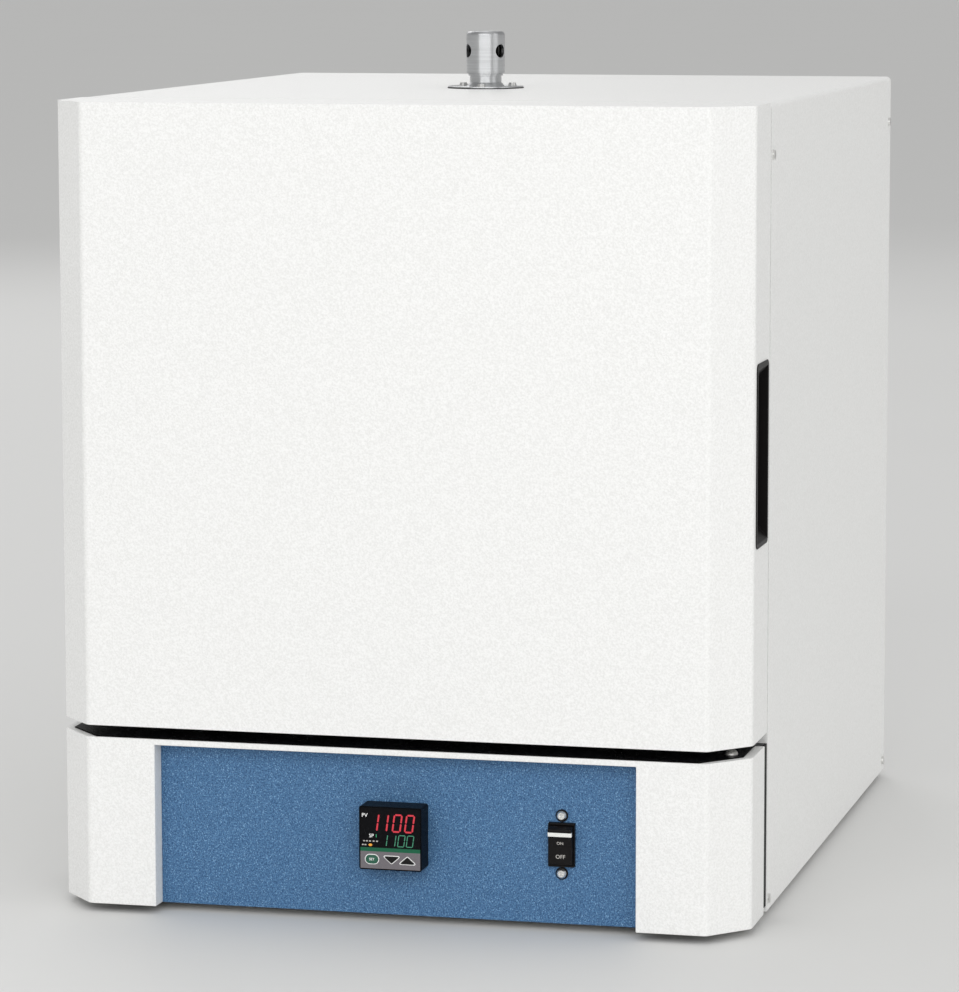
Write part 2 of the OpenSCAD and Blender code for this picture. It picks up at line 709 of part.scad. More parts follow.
module vent_neck() color(bare_steel) place() translate([vent_x, vent_y, 0]) difference() {
    union() {
        translate([0, 0, vent_seat_z - vent_flange_t]) cylinder(r = vent_flange_r, h = vent_flange_t);
        translate([0, 0, vent_seat_z - eps]) cylinder(r1 = vent_neck_r + 2.5, r2 = vent_neck_r, h = 3);
        translate([0, 0, vent_seat_z - vent_flange_t])
            cylinder(r = vent_neck_r, h = cap_z + cap_h - cap_wall - run_gap - vent_seat_z + vent_flange_t);
        translate([0, 0, cap_z - run_gap - 1.5]) cylinder(r = vent_neck_r + 1.2, h = 1.5);
    }
    translate([0, 0, case_h - 1]) cylinder(r = vent_neck_r - vent_wall, h = 2 * cap_h);
    vent_holes(cap_hole_r);
    for (i = [0:2]) rotate([0, 0, i * 120 + cap_hole_turn - 30])
        translate([screw_pcd_r, 0, case_h - 1]) cylinder(r = screw_r + seat_gap, h = 4);
}

module vent_screws() color(bare_steel) place() translate([vent_x, vent_y, 0])
    for (i = [0:2]) rotate([0, 0, i * 120 + cap_hole_turn - 30])
        translate([screw_pcd_r, 0, 0]) {
            translate([0, 0, vent_seat_z]) cylinder(r1 = 3.6, r2 = 2.6, h = 2.4);
            translate([0, 0, case_h]) cylinder(r = screw_r, h = vent_seat_z - case_h + eps);
        }

// Flat gasket between the flange and the cabinet's top
module vent_gasket() color(black_plastic) place() translate([vent_x, vent_y, case_h]) difference() {
    cylinder(r = vent_flange_r + 0.4, h = vent_gasket_t);
    translate([0, 0, -1]) cylinder(r = vent_neck_r - vent_wall, h = vent_gasket_t + 2);
    for (i = [0:2]) rotate([0, 0, i * 120 + cap_hole_turn - 30])
        translate([screw_pcd_r, 0, -1]) cylinder(r = screw_r + seat_gap, h = vent_gasket_t + 2);
}

module vent_cap() color(bare_steel) place() translate([vent_x, vent_y, 0]) difference() {
    translate([0, 0, cap_z]) rotate_extrude() difference() {
        polygon(concat([[0, 0], [cap_r, 0]],
            [for (a = [0:15:90]) [cap_r - 3 + 3 * cos(a), cap_h - 3 + 3 * sin(a)]], [[0, cap_h]]));
        translate([0, -1]) square([vent_neck_r + run_gap, cap_h - cap_wall + 1]);
    }
    vent_holes(cap_hole_r);
}

// Temperature controller: front housing, window, stripe, keypad, three keys and the clamp behind
ctrl_front = panel_y - ctrl_out;
ctrl_rim = 1; // the inlays of the front lie inside this narrow rim
face_w = ctrl_w - 2 * ctrl_rim;
face_in = 1; // depth of the inlays
stripe_z = -8.6; // centre of the stripe, from the controller's centre
stripe_h = 2.9;
key_z = -16;
key_in = 2.2; // how far a key reaches behind the front
key_out = 0.7; // how far it stands out
window_top = face_w / 2;
keypad_low = -face_w / 2;

module at_ctrl(y) {
    translate([ctrl_x, y, ctrl_z]) children();
}

module inlay(z0, z1, grow) {
    at_ctrl(ctrl_front) upright(-grow, face_in + grow) round_box([-face_w / 2, z0], [face_w / 2, z1], 0.4);
}

module controller_case() color(black_plastic) place() difference() {
    union() {
        at_ctrl(ctrl_front) upright(0, ctrl_out)
            round_box([-ctrl_w / 2, -ctrl_w / 2], [ctrl_w / 2, ctrl_w / 2], 1.6);
        at_ctrl(panel_y - eps) upright(0, ctrl_body_d)
            polygon(box_pts([-ctrl_body_w / 2, -ctrl_body_w / 2], [ctrl_body_w / 2, ctrl_body_w / 2]));
    }
    at_ctrl(ctrl_front) block([-face_w / 2, -1, keypad_low], [face_w / 2, face_in, window_top]);
    at_ctrl(ctrl_front) upright(face_in - eps, key_in + key_travel + run_gap) {
        translate([key_set_x, key_z]) key_oval(run_gap);
        translate([key_down_x, key_z]) mirror([0, 1]) key_triangle(run_gap);
        translate([key_up_x, key_z]) key_triangle(run_gap);
    }
}

module controller_window() color([0.03, 0.03, 0.04]) place() at_ctrl(ctrl_front)
    block([-face_w / 2, 0, stripe_z + stripe_h / 2], [face_w / 2, face_in, window_top]);

module controller_stripe() color([0.05, 0.42, 0.30]) place() at_ctrl(ctrl_front)
    block([-face_w / 2, 0, stripe_z - stripe_h / 2], [face_w / 2, face_in, stripe_z + stripe_h / 2]);

module controller_keypad() color([0.45, 0.45, 0.45]) place() at_ctrl(ctrl_front) difference() {
    block([-face_w / 2, 0, keypad_low], [face_w / 2, face_in, stripe_z - stripe_h / 2]);
    upright(-1, face_in + 1) {
        translate([key_set_x, key_z]) key_oval(run_gap);
        translate([key_down_x, key_z]) mirror([0, 1]) key_triangle(run_gap);
        translate([key_up_x, key_z]) key_triangle(run_gap);
    }
}

key_set_x = -14.1;
key_down_x = 1;
key_up_x = 13.2;
key_w = 9.6;
key_h = 6.4;
tri_w = 12; // before its corners are rounded
tri_h = 5.2;

module key_oval(grow) {
    w = key_w / 2 + grow;
    h = key_h / 2 + grow;
    round_box([-w, -h], [w, h], h - eps);
}

module key_triangle(grow) {
    w = tri_w / 2 + 1.7 * grow;
    polygon(rounded([[-w, -tri_h / 2 - grow], [w, -tri_h / 2 - grow], [0, tri_h / 2 + 1.3 * grow]],
        [0.6, 0.6, 0.6]));
}

module key_set() color([0.1, 0.4, 0.3]) place() at_ctrl(ctrl_front)
    translate([key_set_x, 0, key_z]) upright(-key_out, key_in) key_oval(0);

module key_down() color(black_plastic) place() at_ctrl(ctrl_front)
    translate([key_down_x, 0, key_z]) upright(-key_out, key_in) mirror([0, 1]) key_triangle(0);

module key_up() color(black_plastic) place() at_ctrl(ctrl_front)
    translate([key_up_x, 0, key_z]) upright(-key_out, key_in) key_triangle(0);

// Frame that clamps the controller against the back of the panel
module controller_clamp() color(black_plastic) place() at_ctrl(panel_y + sheet) upright(0, 12)
    difference() {
        a = ctrl_body_w / 2 + seat_gap;
        union() {
            square([2 * a + 8, 2 * a + 5], center = true);
            square([2 * a + 5, 2 * a + 12], center = true);
        }
        square(2 * a, center = true);
    }

// Rocker breaker: a housing through the panel, screwed from the front
brk_front = panel_y - 3;
brk_rim = 1.4; // wall above and below the rocker
brk_side = 0.7; // wall at its sides
slot_w = brk_w - 2 * brk_side;
rocker_r = (brk_h - 2 * brk_rim) / 2 - run_gap; // the rocker's ends turn on this radius
rocker_depth = 1; // from the housing's front to the rocker's axis
rocker_y = brk_front + rocker_depth;
brk_body_h = brk_screw_pitch + 9;
module breaker_body() color(black_plastic) place() difference() {
    union() {
        translate([brk_x, 0, brk_z]) upright(brk_front, panel_y + sheet + 1)
            round_box([-brk_w / 2, -brk_h / 2], [brk_w / 2, brk_h / 2], 0.8);
        translate([brk_x, 0, brk_z]) block([-brk_w / 2 - 1, panel_y + sheet, -brk_body_h / 2],
            [brk_w / 2 + 1, panel_y + 52, brk_body_h / 2]);
    }
    translate([brk_x - slot_w / 2, rocker_y, brk_z]) rod_x(rocker_r + run_gap, slot_w);
    block([brk_x - slot_w / 2, brk_front - 1, brk_z - rocker_r - run_gap],
        [brk_x + slot_w / 2, rocker_y, brk_z + rocker_r + run_gap]);
    for (s = [-1, 1]) translate([brk_x, panel_y, brk_z + s * brk_screw_pitch / 2])
        rod_y(brk_screw_r + seat_gap, 14);
}

// Side view of the rocker about its axis: a shallow V, whose upper half stands out at rest
rocker_stand = 4.4; // how far the V's ends stand before the housing when level
rocker_dip = 1.2; // how much lower the middle of the V is
rocker_front = -(rocker_depth + rocker_stand);
rocker_slant = -60; // direction of the rocker's rear corners
function rocker_pts() =
    let (front = rocker_front, a = asin(-front / rocker_r), step = (a - rocker_slant) / 8)
    [for (k = [0:8]) let (t = a - k * step) [-rocker_r * sin(t), rocker_r * cos(t)],
     for (k = [0:8]) let (t = rocker_slant + k * step) [-rocker_r * sin(t), -rocker_r * cos(t)],
     [front + rocker_dip, -1.2], [front + rocker_dip, 1.2]];

module at_rocker() {
    translate([0, rocker_y, brk_z]) rotate([rocker_swing / 2, 0, 0]) children();
}

band_w = 3.2; // height of the white band
band_z = 9.7; // centre of the band on the rocker
band_in = 2.7; // how deep the band is set in
module breaker_rocker() color(black_plastic) place() at_rocker() difference() {
    rocker_bar();
    band_box(pin_gap);
}

module rocker_bar() {
    lengthwise(brk_x - slot_w / 2 + run_gap, brk_x + slot_w / 2 - run_gap) polygon(rocker_pts());
}

module band_box(grow) {
    block([brk_x - slot_w, -rocker_r - 1, band_z - band_w / 2 - grow],
        [brk_x + slot_w, rocker_front + band_in + grow, band_z + band_w / 2 + grow]);
}

module rocker_band() color("white") place() at_rocker() intersection() {
    rocker_bar();
    band_box(0);
}

module breaker_screws() color(bare_steel) place() for (s = [-1, 1])
    translate([brk_x, panel_y, brk_z + s * brk_screw_pitch / 2]) {
        translate([0, -washer_t, 0]) {
            cone_y_head(3.6, 2.4);
            rod_y(brk_screw_r, 10);
        }
    }

// Flat washers under the heads of the breaker's screws
washer_r = 4.7;
washer_t = 0.8;
module breaker_washers() color(black_plastic) place() for (s = [-1, 1])
    translate([brk_x, panel_y - washer_t, brk_z + s * brk_screw_pitch / 2]) difference() {
        rod_y(washer_r, washer_t);
        translate([0, -1, 0]) rod_y(brk_screw_r + seat_gap, washer_t + 2);
    }

module cone_y_head(r, h) {
    translate([0, -h, 0]) difference() {
        union() {
            cone_y(r - 1, r, h / 2);
            translate([0, h / 2, 0]) rod_y(r, h / 2);
        }
        for (a = [0, 90]) rotate([0, a, 0]) block([-r / 2, -1, -0.4], [r / 2, h / 3, 0.4]);
    }
}

// Power parts on the base pan: a relay on its finned heat sink, and a terminal block
sink_w = 110;
sink_d = 90;
sink_h = 34;
sink_base = 6;
sink_x = -130;
sink_y = 330;
fin_n = 12;
fin_t = 2;
module heat_sink() color(bare_steel) place() translate([sink_x, sink_y, pan_z + sheet]) {
    translate([-sink_w / 2, -sink_d / 2, sink_h - sink_base]) cube([sink_w, sink_d, sink_base]);
    for (i = [0:fin_n - 1]) translate([-sink_w / 2 + i * (sink_w - fin_t) / (fin_n - 1), -sink_d / 2, 0])
        cube([fin_t, sink_d, sink_h - sink_base + eps]);
}

relay_w = 45;
relay_d = 58;
relay_h = 20;
relay_top_d = 28; // the raised middle between the two pairs of terminals
module relay() color(black_plastic) place() translate([sink_x, sink_y, pan_z + sheet + sink_h]) difference() {
    union() {
        translate([-relay_w / 2, -relay_d / 2, 0]) cube([relay_w, relay_d, relay_h]);
        translate([-relay_w / 2, -relay_top_d / 2, relay_h - eps]) cube([relay_w, relay_top_d, 5]);
    }
    for (x = [-1, 1], y = [-1, 1])
        translate([x * relay_w * 0.27, y * (relay_d + relay_top_d) / 4, relay_h - 5])
            cylinder(r = 4.5, h = 10);
    for (y = [-1, 1]) translate([0, y * (relay_d / 2 - 3), -1]) cylinder(r = 2.2, h = relay_h + 10);
}

block_n = 6;
block_pitch = 12;
block_d = 26;
block_h = 10;
rib_t = 2; // ribs between the terminals
rib_h = 9;
module terminal_block() color(black_plastic) place()
    translate([gland_x + 45, back_y - 90, pan_z + sheet]) difference() {
        union() {
            translate([0, -block_d / 2, 0]) cube([block_n * block_pitch + rib_t, block_d, block_h]);
            for (i = [0:block_n]) translate([i * block_pitch, -block_d / 2, block_h - eps])
                cube([rib_t, block_d, rib_h]);
        }
        for (i = [0:block_n - 1], y = [-1, 1])
            translate([i * block_pitch + (block_pitch + rib_t) / 2, y * block_d / 4, block_h - 4])
                cylinder(r = 2.4, h = block_h);
    }

// Cable gland of the mains inlet and its locknut, on the back panel
gland_in = 12;
gland_nut_r = 14; // over the corners of its two hexagons
gland_nut_h = 5;
gland_cap_r = 11.4;
gland_cap_h = 3;
module cable_gland() color(black_plastic) place() translate([gland_x, 0, gland_z]) difference() {
    union() {
        translate([0, back_y - gland_in, 0]) rod_y(gland_shank_r, gland_in + sheet + eps);
        translate([0, case_d, 0]) rotate([-90, 0, 0]) cylinder(r = gland_nut_r, h = gland_nut_h, $fn = 6);
        translate([0, case_d + gland_nut_h - eps, 0]) rod_y(gland_cap_r, gland_cap_h + eps);
        translate([0, case_d + gland_nut_h + gland_cap_h - eps, 0])
            cone_y(gland_cap_r, 8, gland_out - gland_nut_h - gland_cap_h + eps);
    }
    translate([0, back_y - gland_in - 1, 0]) rod_y(gland_bore_r, gland_in + sheet + gland_out + 2);
}

module gland_nut() color(black_plastic) place()
    translate([gland_x, back_y - gland_nut_h, gland_z]) difference() {
        rotate([-90, 0, 0]) cylinder(r = gland_nut_r, h = gland_nut_h, $fn = 6);
        translate([0, -1, 0]) rod_y(gland_shank_r + pin_gap, gland_nut_h + 2);
    }

module cabinet_screws() color(bare_steel) place() {
    both_sides() for (y = side_screw_y, z = side_screw_z) translate([half_w, y, z]) {
        rod_x(screw_head_r, screw_head_h);
        translate([-screw_l, 0, 0]) rod_x(screw_r, screw_l + eps);
    }
    leaf_screws(1);
}

module back_screws() color(bare_steel) place() for (p = back_screw_xz) screw_y(p.x, case_d, p.y);

// Hinges: five knuckles each, three on the cabinet's leaf and two on the door's
knuckles = 5;
knuckle_h = hinge_h / knuckles;
leaf_gap = barrel_r + run_gap; // from the axis to the leaf's edge
module hinge_half(side, first) {
    for (z = hinge_zs) translate([hinge_x, hinge_y, z]) difference() {
        union() {
            block([-half_w - leaf_t - hinge_x, min(side * leaf_gap, side * leaf_w), -hinge_h / 2],
                [-half_w - hinge_x, max(side * leaf_gap, side * leaf_w), hinge_h / 2]);
            for (k = [first:2:knuckles - 1]) translate([0, 0, -hinge_h / 2 + k * knuckle_h + run_gap / 2]) {
                cylinder(r = barrel_r, h = knuckle_h - run_gap);
                block([-half_w - leaf_t - hinge_x, min(0, side * (leaf_gap + eps)), 0],
                    [-half_w - hinge_x - pin_gap, max(0, side * (leaf_gap + eps)), knuckle_h - run_gap]);
            }
        }
        translate([0, 0, -hinge_h]) cylinder(r = hinge_pin_r + pin_gap, h = 2 * hinge_h);
        for (s = [-1, 1]) translate([-half_w - leaf_t - hinge_x - 1, side * leaf_screw_y, s * hinge_h / 4])
            rod_x(screw_r + seat_gap, leaf_t + 2);
    }
}

leaf_screw_y = (leaf_gap + leaf_w) / 2 + 2;
module leaf_screws(side) {
    for (z = hinge_zs, s = [-1, 1])
        translate([-half_w - leaf_t, hinge_y + side * leaf_screw_y, z + s * hinge_h / 4]) {
            translate([-1.4, 0, 0]) rotate([0, 90, 0]) cylinder(r1 = 2.4, r2 = 3.4, h = 1.4);
            translate([-eps, 0, 0]) rod_x(screw_r, leaf_t + eps);
        }
}

module cabinet_hinge_leaves() color(bare_steel) place() hinge_half(1, 0);

module door_hinge_leaves() color(bare_steel) place() hinge_half(-1, 1);

module hinge_pins() color(bare_steel) place() for (z = hinge_zs) translate([hinge_x, hinge_y, z]) {
    translate([0, 0, -hinge_h / 2 - 1]) cylinder(r = hinge_pin_r, h = hinge_h + 1 + eps);
    translate([0, 0, hinge_h / 2]) cylinder(r1 = barrel_r - 0.3, r2 = barrel_r - 1.2, h = 2);
}

// Door switch in the air space beside the inner case, with its sprung plunger
plunger_r = 2.5;
plunger_travel = 3;
switch_x = inner_w + 6;
switch_z = case_h - 54;
switch_d = 30;
switch_h = 18;
switch_w = 13.4;
module door_switch() color(black_plastic) place() difference() {
    translate([switch_x - 5.4, inner_y, switch_z - switch_h / 2]) cube([switch_w, switch_d, switch_h]);
    translate([switch_x, inner_y - 1, switch_z])
        rod_y(plunger_r + run_gap, plunger_in + plunger_travel + 2);
}

plunger_in = 12;
module switch_plunger() color("white") place() translate([switch_x, 0, switch_z]) {
    translate([0, liner_back + run_gap + 1, 0])
        rod_y(plunger_r, inner_y + plunger_in - liner_back - run_gap - 1);
    translate([0, liner_back + run_gap, 0]) cone_y(plunger_r - 1, plunger_r, 1 + eps);
}

// Two magnetic catches in the door, and the plates that they meet on the frame
catch_x = half_w - 27;
catch_zs = [door_z + 70, case_h - 90];
catch_half_w = 6;
catch_half_h = 24;
module catch_plate() color(bare_steel) place() for (z = catch_zs) {
    translate([catch_x, 0, z]) upright(wrap_y, frame_y)
        round_box([-catch_half_w - 1, -catch_half_h], [catch_half_w + 1, catch_half_h], 2);
    translate([catch_x, frame_y - eps, z]) rod_y(screw_r, sheet);
}

module door_catch() color(black_plastic) place() for (z = catch_zs) translate([catch_x, 0, z]) {
    block([-catch_half_w, liner_back - 15, -catch_half_h + 4],
        [catch_half_w, wrap_y - run_gap, catch_half_h - 4]);
    upright(liner_back, liner_back + 0.8)
        round_box([-catch_half_w, -catch_half_h - 4], [catch_half_w, catch_half_h + 4], 2);
}

// Door: painted shell, inner steel pan, board, plug and seal
lip_w = 14; // width of the shell's flange at the back
liner_edge = 4; // distance of the inner pan from the door's edges
module door_shell() color(white_paint) place() difference() {
    translate([0, 0, door_z]) linear_extrude(door_h) polygon(plan_pts(0, door_d));
    translate([0, 0, door_z + sheet]) linear_extrude(door_h - 2 * sheet)
        polygon(plan_pts(sheet, door_d - sheet));
    block([-half_w + lip_w, door_d - 2 * sheet, door_z + lip_w],
        [half_w - lip_w, door_d + 1, case_h - lip_w]);
    pull_hole();
    liner_screw_holes(door_d - 2 * sheet, 3 * sheet);
}

liner_screw_xz = [for (s = [-1, 1], z = [door_z + 40, ch_zc, case_h - 40]) [s * (half_w - 9), z],
    for (s = [-1, 1], z = [door_z + 9, case_h - 9]) [s * half_w / 2, z]];

module liner_screw_holes(y0, h) {
    for (p = liner_screw_xz) translate([p.x, y0, p.y]) rod_y(1.5 + seat_gap, h);
}

module door_liner() color(bare_steel) place() difference() {
    upright(door_d, liner_back) round_box([-half_w + liner_edge, door_z + liner_edge],
        [half_w - liner_edge, case_h - liner_edge], 3);
    mouth_taper(seat_gap - plug_gap, door_d - 1, liner_back + 1);
    liner_screw_holes(door_d - 1, 3);
    for (z = catch_zs) translate([catch_x, 0, z])
        block([-catch_half_w - seat_gap, door_d - 1, -catch_half_h + 4 - seat_gap],
            [catch_half_w + seat_gap, liner_back + 1, catch_half_h - 4 + seat_gap]);
}

// Fibre board behind the door skin, which stops short of the pull's pocket and of the facets
board_half_w = half_w - max(pull_depth + 10, facet_x + 6);
module door_board() color(fibre_white) place()
    block([-board_half_w, sheet, door_z + 2 * sheet], [board_half_w, door_d - plug_back, case_h - 2 * sheet]);

module door_plug() color(fibre_white) place() mouth_taper(-plug_gap, door_d - plug_back, plug_nose);

// Flattened fibre rope that closes on the frame plate
seal_t = frame_y - liner_back - run_gap;
seal_bend = 24;
seal_half_w = chamber_w / 2 + mouth_flare + seal_off;
seal_half_h = chamber_h / 2 + mouth_flare + seal_off;
seal_pts = [for (a = [0:15:180]) [-seal_w / 2 * cos(a), seal_t * sin(a)]];

module seal_quarter() {
    lengthwise(0, seal_half_w - seal_bend) polygon([for (p = seal_pts) [p.y, seal_half_h + p.x]]);
    linear_extrude(seal_half_h - seal_bend) polygon([for (p = seal_pts) [seal_half_w + p.x, p.y]]);
    translate([seal_half_w - seal_bend, 0, seal_half_h - seal_bend]) rotate([-90, -90, 0])
        rotate_extrude(angle = 90) polygon([for (p = seal_pts) [seal_bend + p.x, p.y]]);
}

module door_seal() color("white") place() translate([0, liner_back, ch_zc]) both_sides() {
    seal_quarter();
    mirror([0, 0, 1]) seal_quarter();
}

// Flush pull in the door's free side: a pocket with sloped ends
pull_rim_t = 0.8;
pull_rim = 1.5; // how far the rim reaches over the cut-out
pull_slope = 24; // how much shorter the pocket's floor is at each end
module pull_outline(inset) {
    round_box([pull_y - pull_w / 2 + inset, pull_z - pull_h / 2 + inset],
        [pull_y + pull_w / 2 - inset, pull_z + pull_h / 2 - inset], max(pull_r - inset, 0.5));
}

module pull_hole() {
    lengthwise(half_w - 2 * sheet, half_w + 1) pull_outline(pull_rim - seat_gap);
}

module door_pull() color(black_plastic) place() difference() {
    union() {
        lengthwise(half_w, half_w + pull_rim_t) pull_outline(0);
        lengthwise(half_w - pull_depth, half_w + eps) pull_outline(pull_rim);
    }
    pull_pocket();
}

module pull_pocket() {
    inset = pull_rim + pull_wall;
    z = pull_h / 2 - inset;
    x = half_w - pull_depth + pull_wall;
    translate([0, pull_y, pull_z]) upright(-pull_w / 2 + inset, pull_w / 2 - inset)
        polygon([[x, -z + pull_slope], [half_w + 1, -z], [half_w + 1, z], [x, z - pull_slope]]);
}

module door_screws() color(bare_steel) place() {
    for (p = liner_screw_xz) translate([p.x, liner_back, p.y]) {
        cone_y(2.8, 2, 1);
        translate([0, -5, 0]) rod_y(1.5, 5 + eps);
    }
    leaf_screws(-1);
}

outer_wrap();
back_panel();
base_pan();
deck_plate();
front_frame();
front_bezel();
control_panel();
feet();
inner_case();
insulation_left();
insulation_right();
insulation_top();
insulation_bottom();
insulation_back();
mouth_board();
element_left();
element_right();
element_tubes();
element_terminals();
hearth_plate();
thermocouple();
vent_liner();
vent_neck();
vent_screws();
vent_gasket();
vent_cap();
controller_case();
controller_window();
controller_stripe();
controller_keypad();
controller_clamp();
key_set();
key_down();
key_up();
breaker_body();
breaker_rocker();
rocker_band();
breaker_screws();
breaker_washers();
relay();
heat_sink();
terminal_block();
cable_gland();
gland_nut();
cabinet_screws();
back_screws();
cabinet_hinge_leaves();
hinge_pins();
catch_plate();
door_switch();
switch_plunger();
ledge_plate();
gap_strips();
door_glide();
door_shell();
door_liner();
door_board();
door_plug();
door_seal();
door_pull();
door_hinge_leaves();
door_catch();
door_screws();
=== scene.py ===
import json
import math

import bpy
from mathutils import Matrix, Vector

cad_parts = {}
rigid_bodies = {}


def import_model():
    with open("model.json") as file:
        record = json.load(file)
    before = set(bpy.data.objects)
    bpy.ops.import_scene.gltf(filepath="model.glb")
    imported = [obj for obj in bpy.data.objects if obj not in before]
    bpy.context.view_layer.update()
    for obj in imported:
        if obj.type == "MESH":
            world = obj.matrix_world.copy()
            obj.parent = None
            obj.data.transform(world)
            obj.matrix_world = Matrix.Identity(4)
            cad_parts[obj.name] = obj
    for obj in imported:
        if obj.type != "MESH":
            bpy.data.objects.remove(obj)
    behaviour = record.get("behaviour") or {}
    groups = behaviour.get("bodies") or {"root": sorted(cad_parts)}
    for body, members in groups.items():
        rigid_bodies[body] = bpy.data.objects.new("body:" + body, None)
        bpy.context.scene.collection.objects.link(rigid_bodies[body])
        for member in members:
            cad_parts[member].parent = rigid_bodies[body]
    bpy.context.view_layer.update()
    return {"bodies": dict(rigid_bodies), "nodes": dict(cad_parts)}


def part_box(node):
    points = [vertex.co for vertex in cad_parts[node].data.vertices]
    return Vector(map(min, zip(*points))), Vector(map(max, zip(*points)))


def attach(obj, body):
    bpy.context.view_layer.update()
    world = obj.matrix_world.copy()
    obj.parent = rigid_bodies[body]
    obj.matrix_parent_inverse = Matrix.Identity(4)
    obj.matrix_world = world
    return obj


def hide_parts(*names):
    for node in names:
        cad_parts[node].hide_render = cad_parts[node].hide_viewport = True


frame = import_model()
nodes = frame["nodes"]

MM = 0.001

# Camera, solved from the photograph's edges of the cabinet. The photograph is 959 x 992 pixels.
CAMERA_AT = Vector((0.83087, -3.40150, 0.73844))
CAMERA_YAW = math.radians(13.986)
CAMERA_PITCH = math.radians(7.424)
CAMERA_ROLL = math.radians(-0.0886)
FOCAL_PIXELS = 4343.8
PHOTO_HEIGHT = 992
SENSOR = 36.0
QUARTER_TURN = 0.25

# Places that several pieces share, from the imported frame
CASE_LOW, CASE_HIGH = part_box("outer_wrap")
CTRL_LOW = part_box("controller_window")[0]
CASE_DEPTH = 673
FOOT = 6
MARK_DEPTH = 0.05

# Seven-segment digits: how far they lean, the bevel of a bar's ends and the gaps it leaves, in bar widths
DIGIT_LEAN = 8
BAR_POINT = 0.48
ACROSS_GAP = 1.45
UPRIGHT_GAP = 0.75
LIT_SEGMENTS = {"0": "abcdef", "1": "bc"}

# The measured and the set temperature: left edges, lower edge and sizes of the digits, in mm
MEASURED_DIGITS = {"lefts": (-16.4, -9.0, 1.4, 10.9), "low": 66.9, "width": 7.0, "height": 14.0, "bar": 1.25}
SET_DIGITS = {"lefts": (-8.2, -1.7, 5.3, 12.0), "low": 56.0, "width": 5.5, "height": 9.2, "bar": 0.7}

# Small status marks, each row with its height, and the lit lamp beside them: places, and length, width, point
STATUS_ROWS = ((59.7, (-20.7, -18.5, -16.1, -13.3, -10.7)), (56.8, (-21.6, -19.6)))
STATUS_SIZE = (1.5, 0.9, 0.2)
LAMP_PLACE = (-15.8, 56.8)
LAMP_SIZE = (3.0, 1.9, 0.8)
BREAKER_X = 126.0
LETTER_SWELL = 0.02
FAR_IN_FRONT = -100

# The two triangular keys before their corners are rounded, and the outlines round the keys
KEY_WIDTH = 12
KEY_HEIGHT = 5.2
KEY_ROUND = 0.6
OUTLINE_OFF = 0.1
OUTLINE_WALL = 0.6

# Chamber's rods and the door's seal
ROD_PITCH = 26
ROD_PASSES = 8
ROD_BACK = 509.5
WIRE_PITCH = 2.6
WIRE_RADIUS = 0.7
WIRE_SUNK = 0.5
WIRE_SLANT = 9
SEAL_WIDTH = 10
SEAL_BEND = 24
BRAID_PITCH = 4.2
STRAND_SIZE = (3.4, 0.95, 1.6)
STRAND_SLANT = 38
STRAND_SUNK = 1.1
STRAND_OFF = 0.23

# Copies of CAD nodes: points merged, faces taken as one, edges rounded, faces shaded as one
MERGE_DISTANCE = 0.01
FLAT_ANGLE = 0.5
EDGE_ANGLE = 30
SMOOTH_ANGLE = 32
ROUND_SMOOTH_ANGLE = 60
FACE_WEIGHT = 100
CORNER_SLACK = 0.02

# Painted shade on the vent cap's inner wall: the shade inside the cap is painted in as a near-black colour
CAP_AXIS = (-11.5, 3.5)
CAP_INNER_RADIUS = 13.0
CAP_SHADE_FADE = 0.1
CAP_LID = 1.5

# Strengths of the world, as light and as it is seen or mirrored. The lamps have place, size and watts
WORLD_LIGHT = 0.74
WORLD_SEEN = 0.66
WORLD_MIRRORED = 0.36
LAMPS = {
    "key_light": ((0.9, -5.6, 2.8), (8.5, 3.2), 185),
    "side_light": ((5.0, -1.2, 2.6), (3.0, 3.0), 30),
    "top_light": ((0.4, 0.6, 4.4), (3.0, 3.0), 8),
    "back_light": ((-2.5, 4.8, 3.2), (3.0, 3.0), 40),
}
FLOOR_SIZE = 120


def add_camera():
    """The photograph's camera: its axes come from yaw, pitch and roll."""
    forward = Vector((-math.sin(CAMERA_YAW) * math.cos(CAMERA_PITCH),
                      math.cos(CAMERA_YAW) * math.cos(CAMERA_PITCH),
                      -math.sin(CAMERA_PITCH)))
    right = Vector((math.cos(CAMERA_YAW), math.sin(CAMERA_YAW), 0))
    up = right.cross(forward)
    rolled_right = right * math.cos(CAMERA_ROLL) + up * math.sin(CAMERA_ROLL)
    rolled_up = up * math.cos(CAMERA_ROLL) - right * math.sin(CAMERA_ROLL)
    turn = Matrix((rolled_right, rolled_up, -forward)).transposed().to_4x4()
    data = bpy.data.cameras.new("photo_camera")
    data.sensor_width = SENSOR
    data.lens = FOCAL_PIXELS / PHOTO_HEIGHT * SENSOR
    data.clip_end = 200
    camera = bpy.data.objects.new("photo_camera", data)
    bpy.context.scene.collection.objects.link(camera)
    camera.matrix_world = Matrix.Translation(CAMERA_AT) @ turn
    bpy.context.scene.camera = camera


def linear(*srgb):
    """A colour read in the photograph, 0 to 255, as Blender's linear colour."""
    def one(v):
        v = v / 255
        return v / 12.92 if v <= 0.04045 else ((v + 0.055) / 1.055) ** 2.4
    return (*(one(v) for v in srgb), 1)


# Shader node helpers

def new_material(name, colour, roughness, metallic=0.0, specular=0.5):
    mat = bpy.data.materials.new(name)
    mat.use_nodes = True
    shader = mat.node_tree.nodes["Principled BSDF"]
    shader.inputs["Base Color"].default_value = colour
    shader.inputs["Roughness"].default_value = roughness
    shader.inputs["Metallic"].default_value = metallic
    shader.inputs["Specular IOR Level"].default_value = specular
    return mat, mat.node_tree, shader


def object_coordinates(tree):
    node = tree.nodes.new("ShaderNodeTexCoord")
    return node.outputs["Object"]


def place_group(tree, group, vector, **values):
    node = tree.nodes.new("ShaderNodeGroup")
    node.node_tree = group
    tree.links.new(vector, node.inputs["Vector"])
    for name, value in values.items():
        node.inputs[name].default_value = value
    return node


